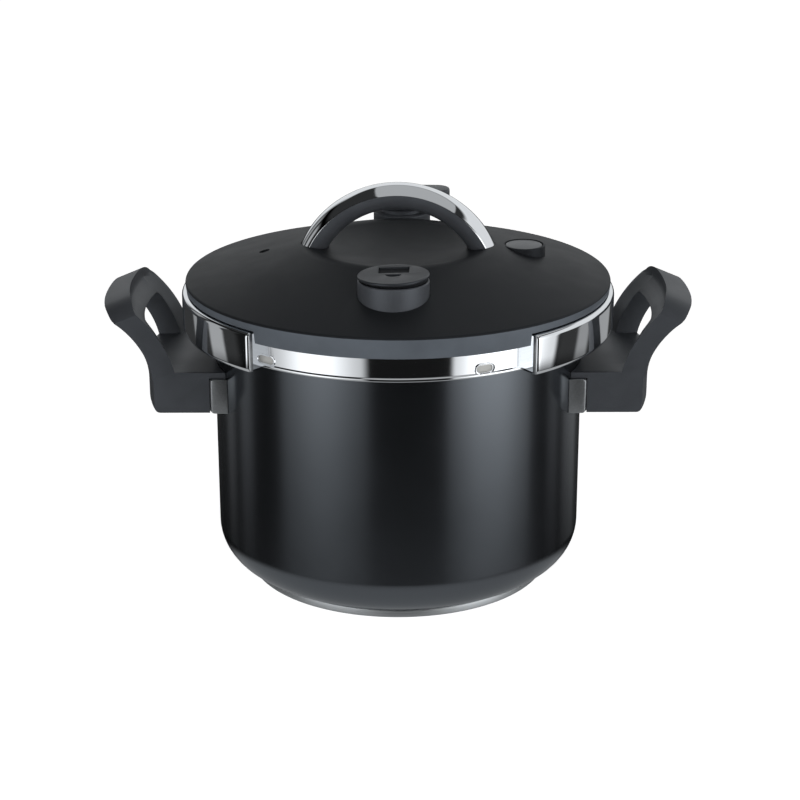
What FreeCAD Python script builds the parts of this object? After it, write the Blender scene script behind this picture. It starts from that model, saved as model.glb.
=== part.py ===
"""Stovetop pressure cooker closed by two sliding jaws, in millimetres, +Z up.

The origin is the centre of the base's underside, and the side handles stand at -X and
+X. The pressure regulator is at the front, at -Y, and the locking lever is at the back.
The lid is drawn square to the axes and set on the pot turned by lid_turn about Z.
"""
import FreeCAD, Part
import math
import os

import Sketcher

Vector = FreeCAD.Vector
Placement = FreeCAD.Placement
Rotation = FreeCAD.Rotation

# ---------------------------------------------------------------- driving sizes
SIZES = {
    # pot
    "pot_radius": 111.5,
    "pot_wall": 1.5,
    "pot_corner": 25.0,
    "floor_wall": 2.0,
    "rim_radius": 116.5,
    "rim_thick": 1.6,
    "rim_height": 158.0,
    "base_radius": 92.5,
    "base_thick": 5.0,
    "base_chamfer": 0.8,
    # side handles and their brackets
    "bracket_depth": 9.0,
    "bracket_width": 96.0,
    "bracket_bottom": 112.1,
    "bracket_height": 21.3,
    "bracket_sheet": 2.0,
    "handle_width": 92.0,
    "handle_gap": 0.2,
    "shelf_thick": 3.4,
    "block_heel": 3.0,
    "arm_thick": 15.0,
    "arm_foot": 12.0,
    "sweep_start": 126.0,
    "grip_out_radius": 173.4,
    "grip_thick": 12.7,
    "grip_flare": 21.9,
    "tip_lean": 0.46,
    "grip_in_height": 173.5,
    "grip_out_height": 168.2,
    "grip_crown": 6.5,
    "grip_under": 164.5,
    "loop_corner": 3.0,
    "inner_sweep_radius": 72.0,
    "handle_screw_height": 122.0,
    "handle_screw_radius": 2.5,
    "handle_head_radius": 4.5,
    "handle_head_depth": 7.0,
    # lid pan and gasket
    "lid_turn": -1.8,
    "skirt_radius": 119.6,
    "pan_wall": 1.2,
    "skirt_rise": 16.0,
    "skirt_bead": 0.7,
    "shoulder_bend": 4.5,
    "shoulder_inner": 103.0,
    "plateau_radius": 97.0,
    "plateau_rise": 2.4,
    "window_width": 9.0,
    "window_tall": 4.4,
    "window_height": 161.0,
    "window_left": 71.5,
    "window_right": 51.5,
    "gasket_inner": 104.0,
    "gasket_lip_inner": 107.5,
    "gasket_wall": 1.8,
    "seal_gap": 0.3,
    # jaws and carriers
    "jaw_radius": 130.0,
    "jaw_sheet": 1.4,
    "jaw_bend": 3.0,
    "jaw_half_angle": 51.5,
    "jaw_lip_clear": 0.5,
    "jaw_lip_gap": 0.4,
    "jaw_plate_gap": 0.6,
    "jaw_plate_inner": 98.0,
    "jaw_return_depth": 3.8,
    "close_travel": 2.0,
    "open_travel": 4.0,
    "slide_gap": 0.4,
    "carrier_sheet": 1.8,
    "carrier_outer": 112.0,
    "carrier_inner": 62.0,
    "carrier_half_width": 42.0,
    "stud_x": 78.0,
    "stud_y": 30.0,
    "stud_radius": 2.5,
    "stud_head_radius": 4.5,
    "stud_head": 1.5,
    "rivet_radius": 2.0,
    "rivet_head_radius": 3.2,
    "rivet_head": 0.9,
    "rivet_ring": 106.0,
    "rivet_angle": 14.0,
    # rack and pinion
    "lever_y": 81.0,
    "pitch_radius": 8.0,
    "pinion_face": 3.6,
    "rack_depth": 6.5,
    "rack_reach": 16.0,
    "backlash": 0.2,
    "pivot_radius": 2.5,
    "pivot_gap": 0.08,
    "shaft_radius": 4.0,
    # cover
    "cover_radius": 127.8,
    "cover_wall": 2.6,
    "cover_edge": 184.3,
    "cover_edge_round": 1.2,
    "band_radius": 126.3,
    "band_bottom": 172.0,
    "ridge_radius": 55.0,
    "ridge_height": 204.5,
    "ridge_round": 8.0,
    "dish_depth": 7.5,
    "notch_gap": 0.8,
    "pillar_x": 38.0,
    "pillar_y": 84.0,
    "pillar_radius": 4.0,
    "cover_screw_radius": 1.5,
    "cover_screw_length": 12.0,
    # arch
    "arch_radius": 64.0,
    "arch_top": 240.5,
    "arch_inner_radius": 48.5,
    "arch_half_width": 12.5,
    "arch_crown": 5.0,
    "arch_side": 2.5,
    "trim_sheet": 1.2,
    "arch_half_angle": 66.5,
    "leg_inner_x": 43.5,
    "leg_outer_x": 53.5,
    "leg_half_width": 10.5,
    "arch_slot_inner": 40.8,
    "arch_slot_outer": 59.1,
    "arch_screw_radius": 2.5,
    "arch_screw_length": 18.0,
    # regulator
    "regulator_y": -81.5,
    "regulator_radius": 20.4,
    "regulator_top": 207.7,
    "cap_radius": 20.4,
    "cap_thick": 1.9,
    "cap_gap": 1.5,
    "cap_neck_radius": 18.3,
    "cap_slot_width": 17.5,
    "cap_slot_near": 1.8,
    "cap_slot_far": 13.6,
    "cap_mark_radius": 4.6,
    "cap_mark_near": 1.0,
    "cap_recess": 1.1,
    "regulator_bottom": 184.0,
    "regulator_wall": 2.5,
    "pipe_radius": 5.0,
    "pipe_bore": 1.5,
    "pipe_top": 190.0,
    "pipe_bottom": 167.0,
    "pipe_gap": 0.1,
    "pipe_flange_radius": 8.5,
    "pipe_flange": 2.6,
    "hub_radius": 8.5,
    "nut_flat": 8.0,
    "nut_thick": 4.5,
    "well_gap": 0.3,
    "relief_travel": 2.0,
    "relief_radius": 4.6,
    "relief_stem_radius": 1.4,
    "relief_cone": 2.2,
    "relief_disc": 1.2,
    "relief_spring_radius": 3.2,
    "relief_wire": 0.35,
    # release button
    "button_x": 75.6,
    "button_y": 5.4,
    "button_radius": 11.2,
    "button_ring_gap": 0.5,
    "button_boss_radius": 12.9,
    "button_boss_top": 202.0,
    "button_sink": 0.3,
    "button_thick": 3.0,
    "button_skirt": 8.0,
    "button_wall": 1.6,
    "button_stem_radius": 3.0,
    "button_travel": 3.5,
    "button_guide_radius": 5.2,
    "button_guide_top": 190.0,
    "button_seat_height": 182.0,
    "button_seat_radius": 8.8,
    "button_seat": 1.4,
    "button_spring_radius": 7.6,
    "button_wire": 0.45,
    # pressure indicator
    "indicator_x": -80.6,
    "indicator_y": 2.5,
    "indicator_hole": 3.2,
    "indicator_cap_radius": 2.7,
    "indicator_cap_top": 195.6,
    "indicator_cap_length": 8.0,
    "indicator_pin_radius": 2.0,
    "indicator_travel": 5.0,
    "indicator_head_radius": 4.4,
    "indicator_head": 1.6,
    "indicator_seal": 1.6,
    "grommet_neck": 4.0,
    "grommet_flange": 6.0,
    "grommet_thick": 1.5,
    # safety valve
    "valve_x": 45.0,
    "valve_y": -60.0,
    "valve_flat": 6.5,
    "valve_height": 7.0,
    "valve_neck": 4.0,
    "valve_cap_radius": 4.6,
    "valve_cap_height": 4.0,
    # locking lever
    "lever_hub_radius": 18.0,
    "lever_hub_top": 203.4,
    "lever_neck_radius": 13.0,
    "lever_neck": 1.8,
    "lever_top": 218.0,
    "lever_reach": 30.4,
    "lever_back": 18.0,
    "lever_half_width": 9.5,
    "lever_round": 2.4,
    "lever_bottom": 184.0,
}
RACK_TEETH = 9
PINION_TEETH = 16
PRESSURE_ANGLE = math.radians(20.0)
RACK_ADDENDUM = 0.85
ROOT_DEPTH = 1.25


class Dim:
    """A length with its value and the formula that binds it to the size table."""

    def __init__(self, value, text):
        self.value = value
        self.text = text

    def _with(self, other, sign, value, swapped=False):
        first, second = (other, self) if swapped else (self, other)
        return Dim(value, f"({first.text} {sign} {second.text})")

    def __add__(self, other):
        other = as_dim(other)
        return self._with(other, "+", self.value + other.value)

    def __radd__(self, other):
        return as_dim(other) + self

    def __sub__(self, other):
        other = as_dim(other)
        return self._with(other, "-", self.value - other.value)

    def __rsub__(self, other):
        return as_dim(other) - self

    def __mul__(self, other):
        other = as_dim(other)
        return self._with(other, "*", self.value * other.value)

    def __rmul__(self, other):
        return as_dim(other) * self

    def __truediv__(self, other):
        other = as_dim(other)
        return self._with(other, "/", self.value / other.value)

    def __neg__(self):
        return Dim(-self.value, f"(0 - {self.text})")


def as_dim(number):
    return number if isinstance(number, Dim) else Dim(float(number), f"{number:.10g}")


def sine(angle):
    """Sine of an angle in degrees."""
    return Dim(math.sin(math.radians(angle.value)), f"sin({angle.text} * 1deg)")


def cosine(angle):
    """Cosine of an angle in degrees."""
    return Dim(math.cos(math.radians(angle.value)), f"cos({angle.text} * 1deg)")


def root(area):
    """Side of a square of that area."""
    return Dim(math.sqrt(area.value), f"sqrt({area.text})")


class Table:
    """Every driving size by its name."""


document = FreeCAD.newDocument("pressure_cooker")
sheet = document.addObject("Spreadsheet::Sheet", "Sizes")
size = Table()
for row, (alias, number) in enumerate(SIZES.items(), start=1):
    sheet.set(f"A{row}", alias)
    sheet.set(f"B{row}", str(number))
    sheet.setAlias(f"B{row}", alias)
    setattr(size, alias, Dim(number, f"Sizes.{alias}"))
document.recompute()
ZERO = as_dim(0)
pieces = []


# ---------------------------------------------------------------- modelling helpers
def bind(item, prop, dim):
    """Tie one property of an object to the size table."""
    item.setExpression(prop, dim.text)


def new_body(label):
    """A sub-part of its own, which is written to the file of that name."""
    body = document.addObject("PartDesign::Body", label)
    body.Label = label
    pieces.append(body)
    return body


def place(item, x=ZERO, y=ZERO, z=ZERO, turn=0.0):
    """Put a piece at a point, turned about Z by an angle in degrees."""
    angle = as_dim(turn)
    item.Placement = Placement(Vector(x.value, y.value, z.value), Rotation(Vector(0, 0, 1), angle.value))
    bind(item, "Placement.Base.x", x)
    bind(item, "Placement.Base.y", y)
    bind(item, "Placement.Base.z", z)


def place_on_lid(item, x=ZERO, y=ZERO, z=ZERO, turn=0.0):
    """Put a piece at a point of the lid, which is itself turned on the pot."""
    across, along = cosine(size.lid_turn), sine(size.lid_turn)
    place(item, x * across - y * along, x * along + y * across, z, size.lid_turn + turn)


def new_sketch(body, name, role, lift=None):
    """A sketch on one of the body's own planes, lifted off it along its normal."""
    sketch = body.newObject("Sketcher::SketchObject", name)
    plane = next(item for item in body.Origin.OriginFeatures if item.Role == role)
    sketch.AttachmentSupport = [(plane, "")]
    sketch.MapMode = "FlatFace"
    if lift is not None:
        sketch.AttachmentOffset = Placement(Vector(0, 0, lift.value), Rotation())
        bind(sketch, "AttachmentOffset.Base.z", lift)
    return sketch


def constrain(sketch, kind, *where, dim=None):
    """Add one constraint, bound to the size table where it has a size."""
    if dim is None:
        return sketch.addConstraint(Sketcher.Constraint(kind, *where))
    index = sketch.addConstraint(Sketcher.Constraint(kind, *where, dim.value))
    sketch.setExpression(f"Constraints[{index}]", dim.text)
    return index


def pin_point(sketch, geometry, vertex, x, y):
    """Hold a vertex at its coordinates in the sketch."""
    for kind, dim, axis in (("DistanceX", x, -2), ("DistanceY", y, -1)):
        if dim is ZERO:
            constrain(sketch, "PointOnObject", geometry, vertex, axis)
        else:
            constrain(sketch, kind, geometry, vertex, dim=dim)


def corner(x, y, fillet=None, arc=None):
    """A corner of an outline: rounded by fillet, or with an arc to the next corner.

    A positive arc radius has its centre on the left of the way round, and a
    negative one on the right.
    """
    return {"x": as_dim(x) if x is not ZERO else x, "y": as_dim(y) if y is not ZERO else y,
            "fillet": fillet, "arc": arc}


def arc_between(start, end, radius, left):
    """The minor arc from start to end, drawn counter-clockwise."""
    middle = (start + end) * 0.5
    along = end - start
    side = Vector(-along.y, along.x, 0).normalize()
    reach = math.sqrt(max(radius ** 2 - (along.Length / 2) ** 2, 0.0))
    centre = middle + side * (reach if left else -reach)
    first, last = (start, end) if left else (end, start)
    angles = [math.atan2(p.y - centre.y, p.x - centre.x) for p in (first, last)]
    if angles[1] < angles[0]:
        angles[1] += 2 * math.pi
    return Part.ArcOfCircle(Part.Circle(centre, Vector(0, 0, 1), radius), *angles)


def outline(sketch, corners):
    """Draw a closed outline through the corners and hold it by their sizes."""
    count = len(corners)
    points = [Vector(c["x"].value, c["y"].value, 0) for c in corners]
    starts, ends, rounds = list(points), list(points), {}
    for i, c in enumerate(corners):
        if c["fillet"] is None:
            continue
        back = (points[i - 1] - points[i]).normalize()
        ahead = (points[(i + 1) % count] - points[i]).normalize()
        half = back.getAngle(ahead) / 2
        run = c["fillet"].value / math.tan(half)
        ends[i] = points[i] + back * run
        starts[i] = points[i] + ahead * run
        rounds[i] = (Vector(0, 0, 1).dot((points[i] - points[i - 1]).cross(ahead)) > 0)
    edges = []
    for i, c in enumerate(corners):
        start, end = starts[i], ends[(i + 1) % count]
        if c["arc"] is None:
            index = sketch.addGeometry(Part.LineSegment(start, end), False)
            edges.append((index, 1, 2))
            continue
        left = c["arc"].value > 0
        arc = arc_between(start, end, abs(c["arc"].value), left)
        index = sketch.addGeometry(arc, False)
        edges.append((index, 1, 2) if left else (index, 2, 1))
        constrain(sketch, "Radius", index, dim=c["arc"] if left else -c["arc"])
    for i, c in enumerate(corners):
        before, after = edges[i - 1], edges[i]
        if c["fillet"] is None:
            constrain(sketch, "Coincident", before[0], before[2], after[0], after[1])
            pin_point(sketch, after[0], after[1], c["x"], c["y"])
            continue
        left = rounds[i]
        arc = arc_between(ends[i], starts[i], c["fillet"].value, left)
        index = sketch.addGeometry(arc, False)
        first, last = (1, 2) if left else (2, 1)
        point = sketch.addGeometry(Part.Point(points[i]), True)
        pin_point(sketch, point, 1, c["x"], c["y"])
        constrain(sketch, "PointOnObject", point, 1, before[0])
        constrain(sketch, "PointOnObject", point, 1, after[0])
        constrain(sketch, "Tangent", before[0], before[2], index, first)
        constrain(sketch, "Tangent", index, last, after[0], after[1])
        constrain(sketch, "Radius", index, dim=c["fillet"])


def box_outline(sketch, x0, x1, y0, y1, fillet=None):
    """Draw a rectangle, with rounded corners if a fillet is given."""
    outline(sketch, [corner(x, y, fillet) for x, y in ((x0, y0), (x1, y0), (x1, y1), (x0, y1))])


def circle(sketch, x, y, radius):
    """Draw a circle and hold its centre and radius."""
    index = sketch.addGeometry(Part.Circle(Vector(x.value, y.value, 0), Vector(0, 0, 1), radius.value))
    pin_point(sketch, index, 3, x, y)
    constrain(sketch, "Radius", index, dim=radius)


def hexagon(sketch, flat):
    """Draw a hexagon about the origin; flat is half its width across the flats."""
    reach = flat * (2 / math.sqrt(3))
    turns = [math.radians(60 * k) for k in range(6)]
    outline(sketch, [corner(reach * round(math.cos(a), 9), reach * round(math.sin(a), 9)) for a in turns])


def revolve(body, sketch, angle=None, axis="V_Axis"):
    """Turn a profile about an axis of its sketch, all round or to both sides."""
    feature = body.newObject("PartDesign::Revolution", sketch.Name + "_turned")
    feature.Profile = sketch
    feature.ReferenceAxis = (sketch, [axis])
    feature.Angle = 360.0
    if angle is not None:
        feature.Midplane = True
        bind(feature, "Angle", angle)
    document.recompute()
    return feature


def pad(body, sketch, length, back=False):
    """Raise a sketch along its normal, or against it."""
    feature = body.newObject("PartDesign::Pad", sketch.Name + "_raised")
    feature.Profile = sketch
    feature.Reversed = back
    bind(feature, "Length", length)
    document.recompute()
    return feature


def cut(body, sketch, length=None, back=False):
    """Cut a sketch out of a body: right through both ways, or to a depth against its normal."""
    before = body.Shape.Volume
    feature = body.newObject("PartDesign::Pocket", sketch.Name + "_cut")
    feature.Profile = sketch
    feature.Reversed = back
    if length is None:
        feature.Type = "ThroughAll"
        feature.Midplane = True
    else:
        bind(feature, "Length", length)
    document.recompute()
    if feature.Shape.isNull() or feature.Shape.Volume >= before:
        raise ValueError(f"{sketch.Name} removes nothing from {body.Label}")
    return feature


def groove(body, sketch, angle=None):
    """Turn a profile out of a body, all round or to both sides."""
    before = body.Shape.Volume
    feature = body.newObject("PartDesign::Groove", sketch.Name + "_groove")
    feature.Profile = sketch
    feature.ReferenceAxis = (sketch, ["V_Axis"])
    feature.Angle = 360.0
    if angle is not None:
        feature.Midplane = True
        bind(feature, "Angle", angle)
    document.recompute()
    if feature.Shape.isNull() or feature.Shape.Volume >= before:
        raise ValueError(f"{sketch.Name} removes nothing from {body.Label}")
    return feature


def fillet(body, radius, test):
    """Round the edges of a body that pass a test on their middle point and direction."""
    base = body.Tip
    names = []
    for number, edge in enumerate(base.Shape.Edges, start=1):
        half = (edge.FirstParameter + edge.LastParameter) / 2
        if test(edge.valueAt(half), edge):
            names.append(f"Edge{number}")
    if not names:
        raise ValueError(f"no edge to round on {body.Label}")
    feature = body.newObject("PartDesign::Fillet", f"{body.Label}_round")
    feature.Base = (base, names)
    bind(feature, "Radius", radius)
    document.recompute()
    return feature


def close_to(value, dim, slack=0.02):
    return abs(value - dim.value) < slack


# ---------------------------------------------------------------- shared levels
rim_under = size.rim_height - size.rim_thick
shoulder_top = size.rim_height + size.skirt_rise
plateau_top = shoulder_top + size.plateau_rise
plateau_under = plateau_top - size.pan_wall
jaw_lip_top = rim_under - size.jaw_lip_gap
jaw_bottom = jaw_lip_top - size.jaw_sheet
jaw_plate_under = plateau_top + size.jaw_plate_gap
jaw_top = jaw_plate_under + size.jaw_sheet
carrier_top = jaw_top + size.carrier_sheet
cover_slope = (size.ridge_height - size.cover_edge) / (size.cover_radius - size.ridge_radius)
bracket_top = size.bracket_bottom + size.bracket_height
bracket_radius = size.pot_radius + size.bracket_depth
shelf_under = bracket_top + size.handle_gap
shelf_top = shelf_under + size.shelf_thick
grip_in_radius = size.grip_out_radius - size.grip_thick
block_radius = size.grip_out_radius - size.grip_flare
arm_foot_radius = block_radius - size.arm_foot
jaw_return_radius = size.jaw_radius - size.jaw_return_depth
arch_axis = size.arch_top - size.arch_radius
cap_under = size.regulator_top - size.cap_thick
regulator_shell_top = cap_under - size.cap_gap
button_top = size.button_boss_top - size.button_sink
button_under = button_top - size.button_thick
module = size.pitch_radius * (2 / PINION_TEETH)
rack_pitch = module * math.pi


def dome_at(radius):
    """Height of the cover's outer surface between its edge and its ridge."""
    return size.cover_edge + (size.cover_radius - radius) * cover_slope


def chord_radius(half_chord, rise):
    """Radius of the arc that rises so far over a chord."""
    return (half_chord * half_chord + rise * rise) / (rise * 2)


# ---------------------------------------------------------------- pot
def make_pot_body():
    """Drawn pot with a wide bottom corner and a flat outward rim."""
    body = new_body("pot_body")
    sketch = new_sketch(body, "pot_profile", "XZ_Plane")
    inner = size.pot_radius - size.pot_wall
    floor = size.base_thick + size.floor_wall
    outline(sketch, [
        corner(ZERO, size.base_thick),
        corner(size.pot_radius, size.base_thick, size.pot_corner),
        corner(size.pot_radius, rim_under, size.rim_thick / 2),
        corner(size.rim_radius, rim_under, size.rim_thick / 4),
        corner(size.rim_radius, size.rim_height, size.rim_thick / 4),
        corner(inner, size.rim_height, size.rim_thick),
        corner(inner, floor, size.pot_corner - size.floor_wall),
        corner(ZERO, floor),
    ])
    revolve(body, sketch)


def make_base_plate():
    """Thick heat-spreading disc under the pot, with shallow rings in its underside."""
    body = new_body("base_plate")
    sketch = new_sketch(body, "base_profile", "XZ_Plane")
    groove = size.base_chamfer / 2
    points = [corner(ZERO, ZERO)]
    for share in (0.3, 0.55, 0.8):
        ring = size.base_radius * share
        points += [corner(ring - groove * 2, ZERO), corner(ring - groove, groove)]
        points += [corner(ring + groove, groove), corner(ring + groove * 2, ZERO)]
    points += [
        corner(size.base_radius - size.base_chamfer, ZERO),
        corner(size.base_radius, size.base_chamfer),
        corner(size.base_radius, size.base_thick - size.base_chamfer),
        corner(size.base_radius - size.base_chamfer, size.base_thick),
        corner(ZERO, size.base_thick),
    ]
    outline(sketch, points)
    revolve(body, sketch)


def make_bracket(label, turn):
    """Pressed steel bracket, open towards the pot wall that it is welded to."""
    body = new_body(label)
    sheet_wall = size.bracket_sheet
    profile = new_sketch(body, label + "_profile", "XZ_Plane")
    box_outline(profile, size.pot_radius, bracket_radius, size.bracket_bottom, bracket_top)
    revolve(body, profile, size.jaw_half_angle * 1.2)
    ends = new_sketch(body, label + "_ends", "YZ_Plane")
    far = size.pot_radius
    half = size.bracket_width / 2
    for near, beyond in ((half, far), (-far, -half)):
        box_outline(ends, near, beyond, ZERO, size.rim_height)
    cut(body, ends)
    hollow = new_sketch(body, label + "_hollow", "YZ_Plane", lift=bracket_radius - sheet_wall)
    box_outline(hollow, sheet_wall - half, half - sheet_wall,
                size.bracket_bottom + sheet_wall, bracket_top - sheet_wall)
    cut(body, hollow, size.pot_radius)
    bore = new_sketch(body, label + "_bore", "YZ_Plane")
    circle(bore, ZERO, size.handle_screw_height, size.handle_screw_radius + size.handle_gap / 2)
    cut(body, bore)
    place(body, turn=turn)


def make_side_handle(label, turn):
    """Moulded loop handle that sweeps out and up, curved round the pot in plan."""
    body = new_body(label)
    inner = bracket_radius + size.handle_gap
    profile = new_sketch(body, label + "_profile", "XZ_Plane")
    rise = size.grip_out_height - size.sweep_start
    top_margin = size.grip_crown * 3
    outline(profile, [
        corner(inner, size.bracket_bottom),
        corner(block_radius, size.bracket_bottom, size.block_heel),
        corner(block_radius, size.sweep_start, arc=-upright_radius(size.grip_flare, rise)),
        corner(size.grip_out_radius, size.grip_out_height),
        corner(size.grip_out_radius + top_margin * size.tip_lean, size.grip_out_height + top_margin),
        corner(grip_in_radius, size.grip_in_height + top_margin),
        corner(grip_in_radius, size.grip_in_height, arc=size.inner_sweep_radius),
        corner(arm_foot_radius, shelf_top),
        corner(size.pot_radius + size.handle_gap, shelf_top),
        corner(size.pot_radius + size.handle_gap, shelf_under),
        corner(inner, shelf_under),
    ])
    revolve(body, profile, size.jaw_half_angle * 1.2)
    half = size.handle_width / 2
    far = size.grip_out_radius
    ends = new_sketch(body, label + "_ends", "YZ_Plane")
    for near, beyond in ((half, far), (-far, -half)):
        box_outline(ends, near, beyond, ZERO, size.grip_in_height * 2)
    cut(body, ends)
    crown = new_sketch(body, label + "_crown", "YZ_Plane")
    fall = (size.grip_in_height - size.grip_out_height) / size.grip_thick
    end_reach = root(grip_in_radius * grip_in_radius - half * half)
    end_level = size.grip_in_height + end_reach * fall
    crown_rise = size.grip_crown + (grip_in_radius - end_reach) * fall
    top_level = end_level + size.grip_crown * 6
    outline(crown, [
        corner(half, end_level, arc=chord_radius(half, crown_rise)),
        corner(-half, end_level),
        corner(-half - size.grip_crown, end_level),
        corner(-half - size.grip_crown, top_level),
        corner(half + size.grip_crown, top_level),
        corner(half + size.grip_crown, end_level),
    ])
    cut_along(body, crown, Vector(1, 0, -fall.value))
    loop = new_sketch(body, label + "_loop", "YZ_Plane")
    side = half - size.arm_thick
    outline(loop, [
        corner(-side, shelf_top),
        corner(side, shelf_top),
        corner(side, size.grip_under, size.loop_corner),
        corner(-side, size.grip_under, size.loop_corner),
    ])
    cut(body, loop)
    bore = new_sketch(body, label + "_bore", "YZ_Plane")
    circle(bore, ZERO, size.handle_screw_height, size.handle_screw_radius + size.handle_gap)
    cut(body, bore)
    seat = new_sketch(body, label + "_seat", "YZ_Plane", lift=block_radius - size.handle_head_depth)
    circle(seat, ZERO, size.handle_screw_height, size.handle_head_radius + size.handle_gap)
    cut(body, seat, size.grip_out_radius, back=True)
    place(body, turn=turn)


def upright_radius(run, rise):
    """Radius of an arc that starts upright and moves out by run while it rises."""
    return (run * run + rise * rise) / (run * 2)


def cut_along(body, sketch, direction):
    """Cut a sketch right through a body along a slanting direction."""
    before = body.Shape.Volume
    feature = body.newObject("PartDesign::Pocket", sketch.Name + "_cut")
    feature.Profile = sketch
    feature.UseCustomVector = True
    feature.Direction = direction
    feature.Type = "ThroughAll"
    feature.Midplane = True
    document.recompute()
    if feature.Shape.isNull() or feature.Shape.Volume >= before:
        raise ValueError(f"{sketch.Name} removes nothing from {body.Label}")
    return feature


def make_handle_screws():
    """Both handle screws, each through the block into its bracket."""
    body = new_body("handle_screws")
    head_start = block_radius - size.handle_head_depth
    tip = size.pot_radius + size.handle_gap * 4
    for name, back in (("screw_right", False), ("screw_left", True)):
        shank = new_sketch(body, name + "_shank", "YZ_Plane", lift=-tip if back else tip)
        circle(shank, ZERO, size.handle_screw_height, size.handle_screw_radius)
        pad(body, shank, head_start - tip, back=back)
        head = new_sketch(body, name + "_head", "YZ_Plane", lift=-head_start if back else head_start)
        circle(head, ZERO, size.handle_screw_height, size.handle_head_radius)
        pad(body, head, size.handle_head_radius * 0.7, back=back)


# ---------------------------------------------------------------- lid
def make_lid_pan():
    """Pressed steel lid with a deep skirt, two gasket windows and its valve holes."""
    body = new_body("lid_pan")
    profile = new_sketch(body, "pan_profile", "XZ_Plane")
    wall = size.pan_wall
    inner = size.skirt_radius - wall
    bead = size.skirt_bead
    outline(profile, [
        corner(ZERO, plateau_under),
        corner(size.plateau_radius, plateau_under, size.pan_wall * 2),
        corner(size.shoulder_inner, shoulder_top - wall, size.pan_wall),
        corner(inner, shoulder_top - wall, size.shoulder_bend - wall),
        corner(inner, rim_under),
        corner(size.skirt_radius + bead, rim_under, bead * 0.8),
        corner(size.skirt_radius + bead, rim_under + bead * 2, bead * 0.8),
        corner(size.skirt_radius, rim_under + bead * 2),
        corner(size.skirt_radius, shoulder_top, size.shoulder_bend),
        corner(size.shoulder_inner, shoulder_top, size.pan_wall * 2),
        corner(size.plateau_radius, plateau_top, size.pan_wall),
        corner(ZERO, plateau_top),
    ])
    revolve(body, profile)
    windows = new_sketch(body, "pan_windows", "XZ_Plane", lift=size.pot_radius / 2)
    half_tall = size.window_tall / 2
    for middle in (-size.window_left, size.window_right):
        box_outline(windows, middle - size.window_width / 2, middle + size.window_width / 2,
                    size.window_height - half_tall, size.window_height + half_tall,
                    half_tall * 0.8)
    cut(body, windows, size.cover_radius, back=True)
    holes = new_sketch(body, "pan_holes", "XY_Plane")
    circle(holes, ZERO, size.regulator_y, size.pipe_radius)
    circle(holes, size.indicator_x, size.indicator_y, size.grommet_neck)
    circle(holes, size.valve_x, size.valve_y, size.valve_neck)
    leg_x = (size.leg_inner_x + size.leg_outer_x) / 2
    for x in (leg_x, -leg_x):
        circle(holes, x, ZERO, size.arch_screw_radius)
    for x, y in pillar_places():
        circle(holes, x, y, size.cover_screw_radius)
    cut(body, holes)
    place_on_lid(body)


def pillar_places():
    """Where the cover's four screw pillars stand."""
    return [(x, y) for x in (size.pillar_x, -size.pillar_x) for y in (size.pillar_y, -size.pillar_y)]


def make_lid_gasket():
    """Silicone ring with a C section, under the shoulder of the lid."""
    body = new_body("lid_gasket")
    profile = new_sketch(body, "gasket_profile", "XZ_Plane")
    outer = size.skirt_radius - size.pan_wall - size.seal_gap
    top = shoulder_top - size.pan_wall - 0.02
    bottom = size.rim_height + size.seal_gap
    wall = size.gasket_wall
    bend = size.shoulder_bend - size.pan_wall
    outline(profile, [
        corner(size.gasket_lip_inner, bottom),
        corner(outer, bottom, wall / 3),
        corner(outer, top, bend),
        corner(size.gasket_inner, top, wall / 3),
        corner(size.gasket_inner, top - wall, wall / 3),
        corner(outer - wall, top - wall, wall),
        corner(outer - wall, bottom + wall, wall),
        corner(size.gasket_lip_inner, bottom + wall / 2),
    ])
    revolve(body, profile)
    place_on_lid(body)


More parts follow.
